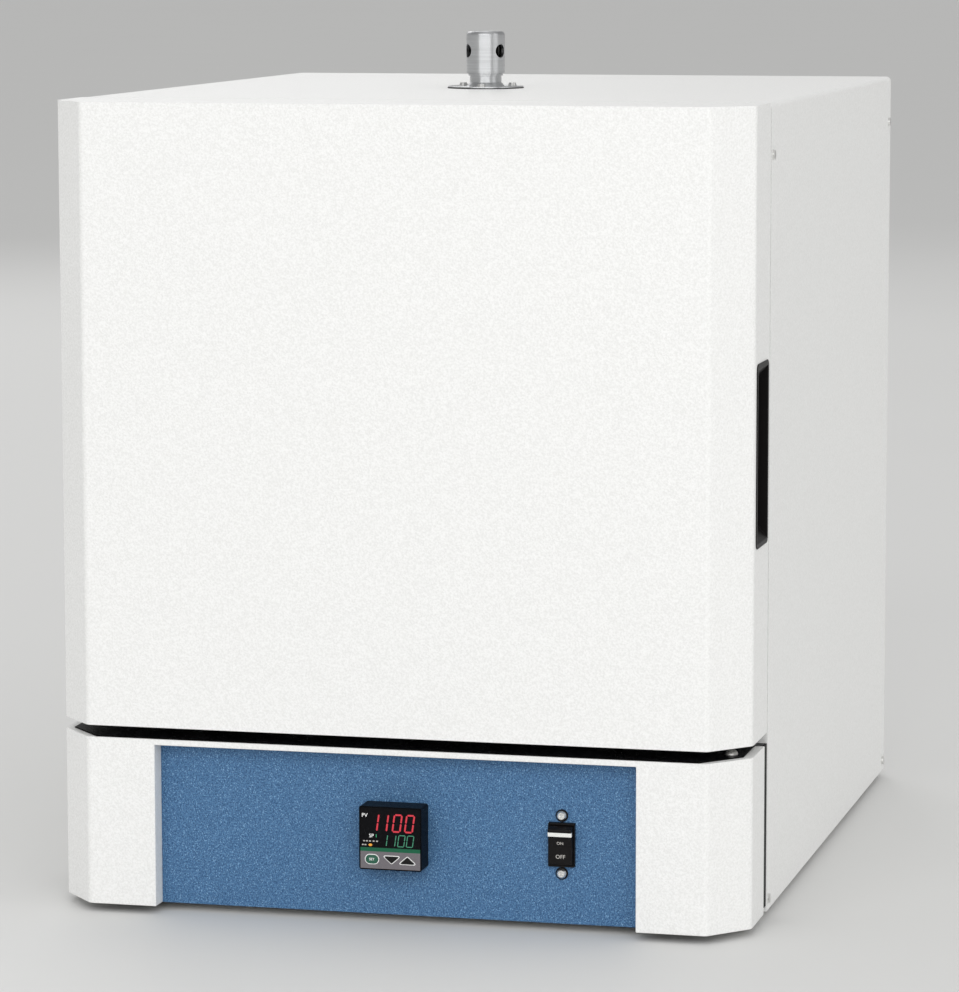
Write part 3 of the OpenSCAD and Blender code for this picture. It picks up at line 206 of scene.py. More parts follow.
def new_group(name, inputs, outputs):
    """A node group with a Vector input, number inputs with defaults, and the outputs given by kind."""
    group = bpy.data.node_groups.new(name, "ShaderNodeTree")
    face = group.interface
    face.new_socket("Vector", in_out="INPUT", socket_type="NodeSocketVector")
    for key, value in inputs.items():
        kind = "NodeSocketColor" if isinstance(value, tuple) else "NodeSocketFloat"
        face.new_socket(key, in_out="INPUT", socket_type=kind).default_value = value
    for key, kind in outputs.items():
        face.new_socket(key, in_out="OUTPUT", socket_type=kind)
    return group, group.nodes.new("NodeGroupInput"), group.nodes.new("NodeGroupOutput")


def noise(tree, vector, scale, detail=2.0, roughness=0.5):
    node = tree.nodes.new("ShaderNodeTexNoise")
    node.inputs["Detail"].default_value = detail
    node.inputs["Roughness"].default_value = roughness
    tree.links.new(vector, node.inputs["Vector"])
    if isinstance(scale, (int, float)):
        node.inputs["Scale"].default_value = scale
    else:
        tree.links.new(scale, node.inputs["Scale"])
    return node.outputs["Fac"]


def remap(tree, value, low, high, to_low=0.0, to_high=1.0):
    node = tree.nodes.new("ShaderNodeMapRange")
    tree.links.new(value, node.inputs["Value"])
    for key, number in (("From Min", low), ("From Max", high), ("To Min", to_low), ("To Max", to_high)):
        if isinstance(number, (int, float)):
            node.inputs[key].default_value = number
        else:
            tree.links.new(number, node.inputs[key])
    return node.outputs["Result"]


def arithmetic(tree, operation, a, b):
    node = tree.nodes.new("ShaderNodeMath")
    node.operation = operation
    for socket, value in zip(node.inputs, (a, b)):
        if isinstance(value, (int, float)):
            socket.default_value = value
        else:
            tree.links.new(value, socket)
    return node.outputs["Value"]


def blend_colours(tree, factor, a, b):
    node = tree.nodes.new("ShaderNodeMix")
    node.data_type = "RGBA"
    for key, value in ((0, factor), (6, a), (7, b)):
        if isinstance(value, (int, float, tuple)):
            node.inputs[key].default_value = value
        else:
            tree.links.new(value, node.inputs[key])
    return node.outputs[2]


def stretched(tree, vector, scale):
    node = tree.nodes.new("ShaderNodeMapping")
    node.inputs["Scale"].default_value = scale
    tree.links.new(vector, node.inputs["Vector"])
    return node.outputs["Vector"]


def bump(tree, shader, height, strength, distance):
    node = tree.nodes.new("ShaderNodeBump")
    node.inputs["Strength"].default_value = strength
    node.inputs["Distance"].default_value = distance
    tree.links.new(height, node.inputs["Height"])
    tree.links.new(node.outputs["Normal"], shader.inputs["Normal"])


def speckle_group():
    """Fine texture of a baked coating: grains over a slow unevenness, as a height and a mask."""
    group, given, out = new_group("baked_coating", {"Grain": 700.0, "Slow": 9.0},
                                  {"Height": "NodeSocketFloat", "Mask": "NodeSocketFloat"})
    vector = given.outputs["Vector"]
    grain = noise(group, vector, given.outputs["Grain"], 3.0, 0.65)
    slow = noise(group, vector, given.outputs["Slow"], 2.0, 0.5)
    sharp = remap(group, grain, 0.36, 0.64)
    joined = arithmetic(group, "ADD", sharp, arithmetic(group, "MULTIPLY", slow, 0.25))
    group.links.new(joined, out.inputs["Height"])
    group.links.new(sharp, out.inputs["Mask"])
    return group


def grain_group():
    """Long scratches of drawn or brushed metal, with blotches of handling, as a height and a mask."""
    group, given, out = new_group("metal_grain", {"Fine": 1.0, "Blotch": 30.0},
                                  {"Height": "NodeSocketFloat", "Mask": "NodeSocketFloat"})
    vector = given.outputs["Vector"]
    streaks = noise(group, vector, given.outputs["Fine"], 3.0, 0.6)
    blotch = noise(group, vector, given.outputs["Blotch"], 3.0, 0.55)
    group.links.new(streaks, out.inputs["Height"])
    blotches = remap(group, blotch, 0.25, 0.75, 0.5, 1.0)
    both = arithmetic(group, "MULTIPLY", remap(group, streaks, 0.3, 0.7), blotches)
    group.links.new(both, out.inputs["Mask"])
    return group


def fibre_group():
    """Matted ceramic fibre: short hairs in two directions over soft lumps."""
    group, given, out = new_group("matted_fibre", {"Hair": 320.0, "Lump": 45.0},
                                  {"Height": "NodeSocketFloat", "Mask": "NodeSocketFloat"})
    vector = given.outputs["Vector"]
    along = noise(group, stretched(group, vector, (0.25, 1.0, 1.0)), given.outputs["Hair"], 4.0, 0.7)
    across = noise(group, stretched(group, vector, (1.0, 0.3, 1.2)), given.outputs["Hair"], 4.0, 0.7)
    lumps = noise(group, vector, given.outputs["Lump"], 2.0, 0.5)
    hairs = arithmetic(group, "MAXIMUM", along, across)
    height = arithmetic(group, "ADD", hairs, lumps)
    group.links.new(height, out.inputs["Height"])
    group.links.new(remap(group, height, 0.75, 1.25), out.inputs["Mask"])
    return group


def paint(name, light, dark, grain, roughness, depth, slow=9.0, speck=None):
    """Baked textured paint whose grains are a little lighter and rougher than the pits between them."""
    mat, tree, shader = new_material(name, light, roughness, 0.0, 0.28)
    texture = place_group(tree, COATING, object_coordinates(tree), Grain=grain, Slow=slow)
    colour = blend_colours(tree, texture.outputs["Mask"], dark, light)
    if speck:
        dots = remap(tree, noise(tree, object_coordinates(tree), grain * 1.3, 1.0), 0.62, 0.7)
        colour = blend_colours(tree, dots, colour, speck)
    tree.links.new(colour, shader.inputs["Base Color"])
    rough = remap(tree, texture.outputs["Mask"], 0, 1, roughness - 0.08, roughness + 0.06)
    tree.links.new(rough, shader.inputs["Roughness"])
    bump(tree, shader, texture.outputs["Height"], 0.5, depth)
    return mat


def steel(name, colour, roughness, stretch, fine=60.0, blotch=30.0, metallic=1.0, turned=0.0):
    """Drawn or brushed metal. The stretch gives its scratches' direction, turned the lathe's grooves."""
    mat, tree, shader = new_material(name, colour, roughness, metallic)
    shader.inputs["Anisotropic"].default_value = turned
    shader.inputs["Anisotropic Rotation"].default_value = QUARTER_TURN if turned else 0.0
    vector = stretched(tree, object_coordinates(tree), stretch)
    texture = place_group(tree, METAL_GRAIN, vector, Fine=fine, Blotch=blotch)
    worn = tuple(c * 0.82 for c in colour[:3]) + (1,)
    tree.links.new(blend_colours(tree, texture.outputs["Mask"], worn, colour), shader.inputs["Base Color"])
    rough = remap(tree, texture.outputs["Mask"], 0, 1, roughness + 0.08, roughness - 0.05)
    tree.links.new(rough, shader.inputs["Roughness"])
    bump(tree, shader, texture.outputs["Height"], 0.12, 0.0002)
    return mat


def moulded(name, colour, roughness, grain=1400.0, depth=0.00004, specular=0.5):
    """Moulded plastic or rubber with a faint mould texture and dust in its pits."""
    mat, tree, shader = new_material(name, colour, roughness, 0.0, specular)
    texture = place_group(tree, COATING, object_coordinates(tree), Grain=grain, Slow=25.0)
    dusty = tuple(c * 1.2 + 0.0006 for c in colour[:3]) + (1,)
    tree.links.new(blend_colours(tree, texture.outputs["Mask"], colour, dusty), shader.inputs["Base Color"])
    rough = remap(tree, texture.outputs["Mask"], 0, 1, roughness - 0.04, roughness + 0.06)
    tree.links.new(rough, shader.inputs["Roughness"])
    bump(tree, shader, texture.outputs["Height"], 0.4, depth)
    return mat


def steel_with_painted_cap_shade(name, *finish):
    """Turned steel of the vent with painted shade: within its cap's inner wall, below the lid, it is painted
    near black as the shade inside the cap.
    """
    mat = steel(name, *finish)
    tree = mat.node_tree
    shader = tree.nodes["Principled BSDF"]
    low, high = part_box("vent_cap")
    from_axis = tree.nodes.new("ShaderNodeMapping")
    from_axis.inputs["Scale"].default_value = (1, 1, 0)
    from_axis.inputs["Location"].default_value = (-CAP_AXIS[0] * MM, -CAP_AXIS[1] * MM, 0)
    tree.links.new(object_coordinates(tree), from_axis.inputs["Vector"])
    radius = tree.nodes.new("ShaderNodeVectorMath")
    radius.operation = "LENGTH"
    tree.links.new(from_axis.outputs["Vector"], radius.inputs[0])
    parts = tree.nodes.new("ShaderNodeSeparateXYZ")
    tree.links.new(object_coordinates(tree), parts.inputs[0])
    fade = CAP_SHADE_FADE * MM
    wall = CAP_INNER_RADIUS * MM + fade
    lid = high.z - CAP_LID * MM
    inside = remap(tree, radius.outputs["Value"], wall, wall + fade, 1.0, 0.0)
    above = remap(tree, parts.outputs["Z"], low.z, low.z + fade)
    below = remap(tree, parts.outputs["Z"], lid, lid + 5 * fade, 1.0, 0.0)
    # Mask of the painted shade: inside the cap's inner wall, between its rim and its lid
    mask = arithmetic(tree, "MULTIPLY", inside, arithmetic(tree, "MULTIPLY", above, below))
    unshaded = shader.inputs["Base Color"].links[0].from_socket
    tree.links.new(blend_colours(tree, mask, unshaded, PAINTED_CAP_SHADE), shader.inputs["Base Color"])
    return mat


def fibre(name, light, dark, hair=320.0, lump=45.0, depth=0.0006):
    """Ceramic fibre board or rope, whose hollows are a little browner from the heat."""
    mat, tree, shader = new_material(name, light, 0.95, 0.0, 0.2)
    texture = place_group(tree, FIBRE, object_coordinates(tree), Hair=hair, Lump=lump)
    tree.links.new(blend_colours(tree, texture.outputs["Mask"], dark, light), shader.inputs["Base Color"])
    bump(tree, shader, texture.outputs["Height"], 0.7, depth)
    return mat


def glow(name, colour, strength):
    """Lit segment of the display, uneven over its dots, with a dark face of its own."""
    mat, tree, shader = new_material(name, tuple(c * 0.15 for c in colour[:3]) + (1,), 0.4)
    shader.inputs["Emission Strength"].default_value = strength
    even = noise(tree, object_coordinates(tree), 900.0, 1.0)
    dim = tuple(c * 0.7 for c in colour[:3]) + (1,)
    lit = blend_colours(tree, remap(tree, even, 0.3, 0.7), dim, colour)
    tree.links.new(lit, shader.inputs["Emission Color"])
    return mat


COATING = speckle_group()
METAL_GRAIN = grain_group()
FIBRE = fibre_group()

WHITE = paint("white_textured_paint", (0.89, 0.89, 0.88, 1), (0.79, 0.79, 0.775, 1), 640.0, 0.46, 0.0002)
BLUE = paint("blue_textured_paint", linear(88, 132, 174), linear(42, 78, 118), 860.0, 0.45, 0.0003, 14.0,
             linear(126, 168, 206))
GALVANISED = steel("galvanised_sheet", (0.50, 0.51, 0.52, 1), 0.46, (1, 1, 1), 60.0, 90.0)
STAINLESS = steel("brushed_stainless", (0.62, 0.62, 0.61, 1), 0.30, (12, 1, 60), 14.0, 12.0)
# Near-black colour of the painted shade inside the vent cap
PAINTED_CAP_SHADE = (0.012, 0.011, 0.010, 1)
VENT_STEEL = steel_with_painted_cap_shade("turned_vent_steel", (0.70, 0.71, 0.72, 1), 0.32, (1, 1, 30), 20.0, 60.0, 1.0, 0.85)
PLATED = steel("plated_steel", (0.63, 0.62, 0.60, 1), 0.27, (90, 90, 4), 12.0, 8.0)
SCREW_STEEL = steel("zinc_plated_screw", (0.90, 0.90, 0.88, 1), 0.28, (1, 1, 1), 500.0, 200.0)
BRASS = steel("terminal_brass", (0.62, 0.45, 0.19, 1), 0.33, (1, 1, 1), 220.0, 90.0)
SINK = steel("sink_aluminium", (0.66, 0.67, 0.68, 1), 0.38, (40, 1, 40), 12.0, 20.0)
ROD = steel("heating_alloy", (0.10, 0.092, 0.085, 1), 0.62, (1, 0.2, 1), 160.0, 60.0, 0.7)
WIRE = steel("heating_wire", (0.16, 0.145, 0.13, 1), 0.5, (1, 1, 1), 300.0, 60.0, 0.8)
BLACK = moulded("black_plastic", (0.007, 0.006, 0.006, 1), 0.40, 1400.0, 0.00003, 0.14)
GLOSS = moulded("black_gloss_plastic", (0.0025, 0.0025, 0.003, 1), 0.30, 500.0, 0.00001, 0.03)
WINDOW = moulded("display_window", (0.003, 0.003, 0.004, 1), 0.12, 300.0, 0.000004, 0.08)
STRIPE = moulded("green_stripe", linear(12, 88, 60), 0.34, 1400.0, 0.00004, 0.3)
GREY = moulded("grey_keypad", linear(106, 102, 106), 0.45, 1400.0, 0.00004, 0.3)
GREEN_KEY = moulded("green_key", linear(28, 84, 64), 0.4)
BLACK_KEY = moulded("black_key", (0.006, 0.006, 0.006, 1), 0.38, 1400.0, 0.00004, 0.2)
IVORY = moulded("white_plastic", (0.80, 0.80, 0.77, 1), 0.38)
PRINT = moulded("white_print", (0.84, 0.84, 0.83, 1), 0.5)
GREY_PRINT = moulded("grey_print", (0.46, 0.44, 0.41, 1), 0.5)
GREEN_PRINT = moulded("green_print", linear(60, 190, 130), 0.5)
RUBBER = moulded("black_rubber", (0.014, 0.014, 0.014, 1), 0.72, 900.0, 0.00008, 0.25)
BOARD = fibre("ceramic_fibre_board", (0.83, 0.80, 0.73, 1), (0.66, 0.60, 0.50, 1))
ROPE = fibre("fibre_rope", (0.80, 0.78, 0.72, 1), (0.58, 0.55, 0.49, 1), 500.0, 160.0)
FIRED = fibre("fired_ceramic", (0.74, 0.68, 0.58, 1), (0.60, 0.53, 0.43, 1), 700.0, 60.0, 0.0002)
RED_LIT = glow("red_display", linear(226, 54, 70), 0.86)
GREEN_LIT = glow("green_display", linear(68, 150, 116), 0.8)
AMBER_LIT = glow("amber_lamp", linear(244, 166, 52), 1.0)


# Materials of the CAD nodes, by node

NODE_MATERIALS = {
    WHITE: ("outer_wrap", "back_panel", "front_bezel", "door_shell", "base_pan"),
    BLUE: ("control_panel",),
    GALVANISED: ("deck_plate", "inner_case", "front_frame", "controller_clamp"),
    STAINLESS: ("door_liner", "cabinet_hinge_leaves", "door_hinge_leaves"),
    VENT_STEEL: ("vent_cap", "vent_neck"),
    PLATED: ("hinge_pins", "door_glide", "catch_plate"),
    SCREW_STEEL: ("vent_screws", "breaker_screws", "cabinet_screws", "back_screws", "door_screws"),
    BRASS: ("element_terminals",),
    SINK: ("heat_sink",),
    ROD: ("element_left", "element_right"),
    # The ledge plate's black gloss is painted shade: it stands for the shade in the gap under the door
    GLOSS: ("controller_case", "ledge_plate"),
    WINDOW: ("controller_window",),
    STRIPE: ("controller_stripe",),
    GREY: ("controller_keypad",),
    GREEN_KEY: ("key_set",),
    BLACK_KEY: ("key_down", "key_up"),
    BLACK: ("breaker_body", "breaker_rocker", "door_pull", "cable_gland", "gland_nut", "relay", "door_switch",
            "door_catch", "terminal_block", "breaker_washers"),
    IVORY: ("rocker_band", "switch_plunger"),
    # The gap strips' black is painted shade: the dark strips stand for the shade in the gaps that they fill
    RUBBER: ("feet", "gap_strips", "vent_gasket"),
    BOARD: ("insulation_left", "insulation_right", "insulation_top", "insulation_bottom", "insulation_back",
            "mouth_board", "door_board", "door_plug"),
    ROPE: ("door_seal",),
    FIRED: ("hearth_plate", "element_tubes", "thermocouple", "vent_liner"),
}


def dress_nodes():
    for mat, names in NODE_MATERIALS.items():
        for name in names:
            for slot in nodes[name].material_slots:
                slot.material = mat


# Modelling helpers

SHOWN = {}


def alone(obj):
    bpy.ops.object.select_all(action="DESELECT")
    obj.select_set(True)
    bpy.context.view_layer.objects.active = obj


def apply_all(obj):
    """Applies all of an object's modifiers, from the first to the last."""
    alone(obj)
    for modifier in list(obj.modifiers):
        bpy.ops.object.modifier_apply(modifier=modifier.name)


def body_name(node):
    """Name of the body that a CAD node rides on."""
    return next(name for name, empty in frame["bodies"].items() if nodes[node].parent is empty)


def in_row(x, y, z):
    """A place given in mm from the centre line, the door's front plane and the base's underside."""
    return Vector((x, y - CASE_DEPTH / 2, z + FOOT)) * MM


def finished(obj, name, mat, body, angle=SMOOTH_ANGLE):
    """Applies an object's place, names it, and sets its material, shading and body."""
    obj.name = name
    obj.data.name = name
    obj.data.materials.clear()
    obj.data.materials.append(mat)
    alone(obj)
    bpy.ops.object.transform_apply(location=True, rotation=True, scale=True)
    bpy.ops.object.shade_smooth_by_angle(angle=math.radians(angle))
    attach(obj, body)
    return obj


def softened(node, mat, width, segments=2):
    """A copy of a CAD node with its loose triangles merged and its edges rounded. It stands for the node."""
    obj = bpy.data.objects.new(node + "_shown", nodes[node].data.copy())
    bpy.context.scene.collection.objects.link(obj)
    alone(obj)
    bpy.ops.object.mode_set(mode="EDIT")
    bpy.ops.mesh.select_all(action="SELECT")
    bpy.ops.mesh.remove_doubles(threshold=MERGE_DISTANCE * MM)
    bpy.ops.mesh.dissolve_limited(angle_limit=math.radians(FLAT_ANGLE))
    bpy.ops.object.mode_set(mode="OBJECT")
    bevel = obj.modifiers.new("edge", "BEVEL")
    bevel.width = width
    bevel.segments = segments
    bevel.limit_method = "ANGLE"
    bevel.angle_limit = math.radians(EDGE_ANGLE)
    bevel.use_clamp_overlap = True
    apply_all(obj)
    finished(obj, node + "_shown", mat, body_name(node))
    even = obj.modifiers.new("even_faces", "WEIGHTED_NORMAL")
    even.keep_sharp = True
    even.weight = FACE_WEIGHT
    apply_all(obj)
    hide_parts(node)
    SHOWN[node] = obj
    return obj


def copy_at(obj, place, name):
    """A copy of an object with its own mesh, moved to a place."""
    made = obj.copy()
    made.data = obj.data.copy()
    made.name = name
    made.matrix_world = place @ obj.matrix_basis
    bpy.context.scene.collection.objects.link(made)
    return made


def joined(objs):
    """Objects made one, in the mesh of the first."""
    bpy.context.view_layer.update()
    bpy.ops.object.select_all(action="DESELECT")
    for obj in objs:
        obj.select_set(True)
    bpy.context.view_layer.objects.active = objs[0]
    bpy.ops.object.join()
    return bpy.context.object


def flat_bar(length, thickness, point, depth):
    """A flat bar along X in the XZ plane, with cut corners, standing out by the depth towards -Y."""
    bpy.ops.mesh.primitive_plane_add(size=1)
    obj = bpy.context.object
    bpy.ops.object.mode_set(mode="EDIT")
    bpy.ops.transform.resize(value=(length * MM, thickness * MM, 1), center_override=(0, 0, 0))
    bpy.ops.mesh.bevel(offset=point * MM, affect="VERTICES", segments=1)
    raise_face(depth)
    bpy.ops.object.mode_set(mode="OBJECT")
    obj.rotation_euler = (math.radians(90), 0, 0)
    return obj


def raise_face(depth):
    """Gives the flat shape that is selected in edit mode a thickness."""
    bpy.ops.mesh.extrude_region_move(TRANSFORM_OT_translate={"value": (0, 0, depth * MM)})


def rounded_corners(obj, corners, radius, angle, segments):
    """Rounds the corners of a flat shape in edit mode for which the test holds, and which have this angle."""
    bpy.ops.object.mode_set(mode="OBJECT")
    for vertex in obj.data.vertices:
        vertex.select = corners(vertex.co)
    bpy.ops.object.mode_set(mode="EDIT")
    bpy.ops.mesh.bevel(offset=radius * MM / math.tan(angle / 2), affect="VERTICES", segments=segments)
    bpy.ops.mesh.select_all(action="DESELECT")


def oval_ring(width, height, wall, depth):
    """An upright flat ring round an oval, given by its outer size."""
    bpy.ops.mesh.primitive_plane_add(size=1)
    obj = bpy.context.object
    bpy.ops.object.mode_set(mode="EDIT")
    bpy.ops.transform.resize(value=(width * MM, height * MM, 1), center_override=(0, 0, 0))
    bpy.ops.mesh.select_all(action="DESELECT")
    rounded_corners(obj, lambda co: True, height / 2 - CORNER_SLACK, math.pi / 2, 10)
    return opened_ring(obj, wall, depth)


def triangle_ring(width, height, radius, wall, depth):
    """An upright flat ring round a triangle that points up, given by its outer size before rounding."""
    bpy.ops.mesh.primitive_circle_add(vertices=3, radius=2 / 3, fill_type="NGON")
    obj = bpy.context.object
    bpy.ops.object.mode_set(mode="EDIT")
    bpy.ops.mesh.select_all(action="SELECT")
    bpy.ops.transform.resize(value=(math.sqrt(3) / 2 * width * MM, height * MM, 1), center_override=(0, 0, 0))
    bpy.ops.mesh.select_all(action="DESELECT")
    low_angle = math.atan2(height, width / 2)
    rounded_corners(obj, lambda co: co.y > 0, radius, math.pi - 2 * low_angle, 6)
    rounded_corners(obj, lambda co: co.y < 0 and abs(co.x) > width * MM * 0.45, radius, low_angle, 6)
    return opened_ring(obj, wall, depth)


def opened_ring(obj, wall, depth):
    """Turns the flat face in edit mode into a standing ring with a wall of the given width."""
    bpy.ops.mesh.select_all(action="SELECT")
    bpy.ops.mesh.inset(thickness=wall * MM, depth=0)
    bpy.ops.mesh.delete(type="FACE")
    bpy.ops.mesh.select_all(action="SELECT")
    raise_face(depth)
    bpy.ops.object.mode_set(mode="OBJECT")
    obj.rotation_euler = (math.radians(90), 0, 0)
    return obj


def lettering(text, size, depth):
    """Upright letters in the XZ plane, centred, standing out by the depth towards -Y."""
    bpy.ops.object.text_add()
    obj = bpy.context.object
    obj.data.body = text
    obj.data.size = size * MM
    obj.data.extrude = depth * MM / 2
    obj.data.align_x = "CENTER"
    obj.data.align_y = "CENTER"
    obj.data.offset = LETTER_SWELL * MM
    obj.data.resolution_u = 4
    bpy.ops.object.convert(target="MESH")
    obj = bpy.context.object
    obj.rotation_euler = (math.radians(90), 0, 0)
    return obj


def face_of(node, x, z):
    """Where a line from the front meets a CAD node, and the direction that its face looks in."""
    start = in_row(x, FAR_IN_FRONT, z)
    bpy.context.view_layer.update()
    _, place, normal, _ = SHOWN.get(node, nodes[node]).ray_cast(start, Vector((0, 1, 0)))
    return place, normal


def lean(normal):
    """Turn that lays an upright mark, which looks towards -Y, on a face that leans up or down."""
    return Matrix.Rotation(-math.asin(max(-1, min(1, normal.z))), 4, "X")


# Display of the controller, and printed marks

def add_digits(text, mat, name, lefts, low, width, height, bar):
    """Seven-segment digits on the controller's window, leaning to the right, each with its left edge."""
    front = face_of("controller_window", lefts[0], low)[0]
    slope = math.tan(math.radians(DIGIT_LEAN))
    across = flat_bar(width - bar * ACROSS_GAP, bar, bar * BAR_POINT, MARK_DEPTH)
    upright = flat_bar(height / 2 - bar * UPRIGHT_GAP, bar, bar * BAR_POINT, MARK_DEPTH)
    bars = []
    for left, digit in zip(lefts, text):
        for segment in LIT_SEGMENTS[digit]:
            level = {"a": 1, "d": 0, "b": 0.75, "f": 0.75, "c": 0.25, "e": 0.25}[segment]
            z = bar / 2 + level * (height - bar)
            right = width - bar / 2
            x = {"b": right, "c": right, "e": bar / 2, "f": bar / 2}.get(segment, width / 2)
            place = in_row(left + x + (z - height / 2) * slope, 0, low + z)
            place.y = front.y
            turn = 0 if segment in "ad" else 90 + DIGIT_LEAN
            move = Matrix.Translation(place) @ Matrix.Rotation(math.radians(turn), 4, "Y")
            bars.append(copy_at(across if segment in "ad" else upright, move, name + "_bar"))
    for master in (across, upright):
        bpy.data.objects.remove(master)
    return finished(joined(bars), name, mat, "cabinet")


def add_mark(text, x, z, size, mat, name, node):
    """Printed letters on the face of a CAD node, at a place in the front frame, in mm."""
    place, normal = face_of(node, x, z)
    obj = lettering(text, size, MARK_DEPTH)
    obj.matrix_world = Matrix.Translation(place) @ lean(normal) @ Matrix.Rotation(math.radians(90), 4, "X")
    return finished(obj, name, mat, body_name(node))


def add_display():
    """Lit digits, letters, status marks and the lit lamp on the controller's window."""
    add_digits("1100", RED_LIT, "measured_digits", **MEASURED_DIGITS)
    add_digits("1100", GREEN_LIT, "set_digits", **SET_DIGITS)
    add_mark("PV", -20.2, 79.0, 4.2, PRINT, "pv_mark", "controller_window")
    add_mark("SP", -15.0, 63.7, 3.8, PRINT, "sp_mark", "controller_window")
    add_mark("1", -11.3, 63.7, 3.4, GREEN_PRINT, "sp_number", "controller_window")
    small = []
    for z, places in STATUS_ROWS:
        for x in places:
            bar = flat_bar(*STATUS_SIZE, MARK_DEPTH)
            bar.location = face_of("controller_window", x, z)[0]
            small.append(bar)
    finished(joined(small), "status_marks", GREY_PRINT, "cabinet")
    lamp = flat_bar(*LAMP_SIZE, MARK_DEPTH)
    lamp.location = face_of("controller_window", *LAMP_PLACE)[0]
    finished(lamp, "status_lamp", AMBER_LIT, "cabinet")


def add_key_outlines():
    """White outlines printed round the three keys, at a small distance from them."""
    low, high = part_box("key_set")
    middle = (low + high) / 2
    out = OUTLINE_OFF + OUTLINE_WALL
    grow = 2 * out
    oval = oval_ring((high.x - low.x) / MM + grow, (high.z - low.z) / MM + grow, OUTLINE_WALL, MARK_DEPTH)
    oval.location = (middle.x, CTRL_LOW.y, middle.z)
    finished(oval, "set_key_outline", PRINT, "cabinet")
    add_mark("SET", middle.x / MM, middle_z("key_set"), 2.6, PRINT, "set_key_mark", "key_set")
    low_angle = math.atan2(KEY_HEIGHT, KEY_WIDTH / 2)
    width = KEY_WIDTH + 2 * out / math.tan(low_angle / 2)
    height = KEY_HEIGHT + out + out / math.cos(low_angle)
    rise = (height / 3 - out) * MM
    for node, turn in (("key_down", 180), ("key_up", 0)):
        low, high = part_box(node)
        ring = triangle_ring(width, height, KEY_ROUND + out, OUTLINE_WALL, MARK_DEPTH)
        centre_z = low.z + rise if turn == 0 else high.z - rise
        ring.matrix_world = (Matrix.Translation(((low.x + high.x) / 2, CTRL_LOW.y, centre_z))
                             @ Matrix.Rotation(math.radians(turn), 4, "Y")
                             @ Matrix.Rotation(math.radians(90), 4, "X"))
        finished(ring, node + "_outline", PRINT, "cabinet")


def middle_z(node):
    """Height of a node's centre in the front frame, in mm."""
    low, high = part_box(node)
    return (low.z + high.z) / 2 / MM - FOOT


def add_breaker_marks():
    """ON and OFF on the rocker, which leans at rest."""
    add_mark("ON", BREAKER_X, 62.0, 3.3, GREY_PRINT, "on_mark", "breaker_rocker")
    add_mark("OFF", BREAKER_X, 51.5, 4.2, GREY_PRINT, "off_mark", "breaker_rocker")


# Chamber and seal

def add_wire_windings(node):
    """Heating wire wound round a CAD rod, as one turn copied along its passes and round its bends."""
    low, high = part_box(node)
    x = (low.x + high.x) / 2
    radius = (high.x - low.x) / 2
    turn_gap = WIRE_PITCH * MM
    bend = ROD_PITCH * MM / 2
    first_z = low.z + radius
    front_y = low.y + radius + bend
    back_y = in_row(0, ROD_BACK, 0).y
    bpy.ops.mesh.primitive_torus_add(major_radius=radius - WIRE_SUNK * MM, minor_radius=WIRE_RADIUS * MM,
                                     major_segments=12, minor_segments=5)
    ring = bpy.context.object
    ring.rotation_euler = (math.radians(90 + WIRE_SLANT), 0, 0)
    bpy.ops.object.transform_apply(rotation=True)
    rows = ring.copy()
    rows.data = ring.data.copy()
    bpy.context.scene.collection.objects.link(rows)
    repeat = rows.modifiers.new("turns", "ARRAY")
    repeat.use_relative_offset = False
    repeat.use_constant_offset = True
    repeat.constant_offset_displace = (0, turn_gap, 0)
    repeat.count = int((back_y - front_y) / turn_gap)
    apply_all(rows)
    pieces = []
    for i in range(ROD_PASSES):
        z = first_z + i * ROD_PITCH * MM
        pieces.append(copy_at(rows, Matrix.Translation((x, front_y, z)), "winding_row"))
    for i in range(ROD_PASSES - 1):
        side = -1 if i % 2 == 0 else 1
        middle = Vector((x, front_y if side < 0 else back_y, first_z + (i + 0.5) * ROD_PITCH * MM))
        count = int(math.pi * bend / turn_gap)
        for k in range(count):
            angle = math.pi * (k + 0.5) / count - math.pi / 2
            at = middle + Vector((0, side * bend * math.cos(angle), bend * math.sin(angle)))
            turn = Matrix.Rotation(side * angle + math.pi / 2, 4, "X")
            pieces.append(copy_at(ring, Matrix.Translation(at) @ turn, "winding_turn"))
    for master in (ring, rows):
        bpy.data.objects.remove(master)
    finished(joined(pieces), node + "_winding", WIRE, "cabinet", ROUND_SMOOTH_ANGLE)


def seal_path(distance):
    """Place and direction along the middle line of the rope seal, by the distance round it."""
    low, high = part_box("door_seal")
    middle = (low + high) / 2
    half_x = (high.x - low.x) / 2 - SEAL_WIDTH * MM / 2
    half_z = (high.z - low.z) / 2 - SEAL_WIDTH * MM / 2
    bend = SEAL_BEND * MM
    sides = [(2 * (half_x - bend), Vector((1, 0, 0)), Vector((-half_x + bend, 0, -half_z))),
             (2 * (half_z - bend), Vector((0, 0, 1)), Vector((half_x, 0, -half_z + bend))),
             (2 * (half_x - bend), Vector((-1, 0, 0)), Vector((half_x - bend, 0, half_z))),
             (2 * (half_z - bend), Vector((0, 0, -1)), Vector((-half_x, 0, half_z - bend)))]
    arc = math.pi / 2 * bend
    for length, along, start in sides:
        if distance < length:
            return middle + start + along * distance, along
        distance -= length
        if distance < arc:
            inward = Vector((-along.z, 0, along.x))
            centre = start + along * length + inward * bend
            angle = distance / bend
            out = -inward * math.cos(angle) + along * math.sin(angle)
            return middle + centre + out * bend, along * math.cos(angle) + inward * math.sin(angle)
        distance -= arc
    return middle + sides[0][2], sides[0][1]


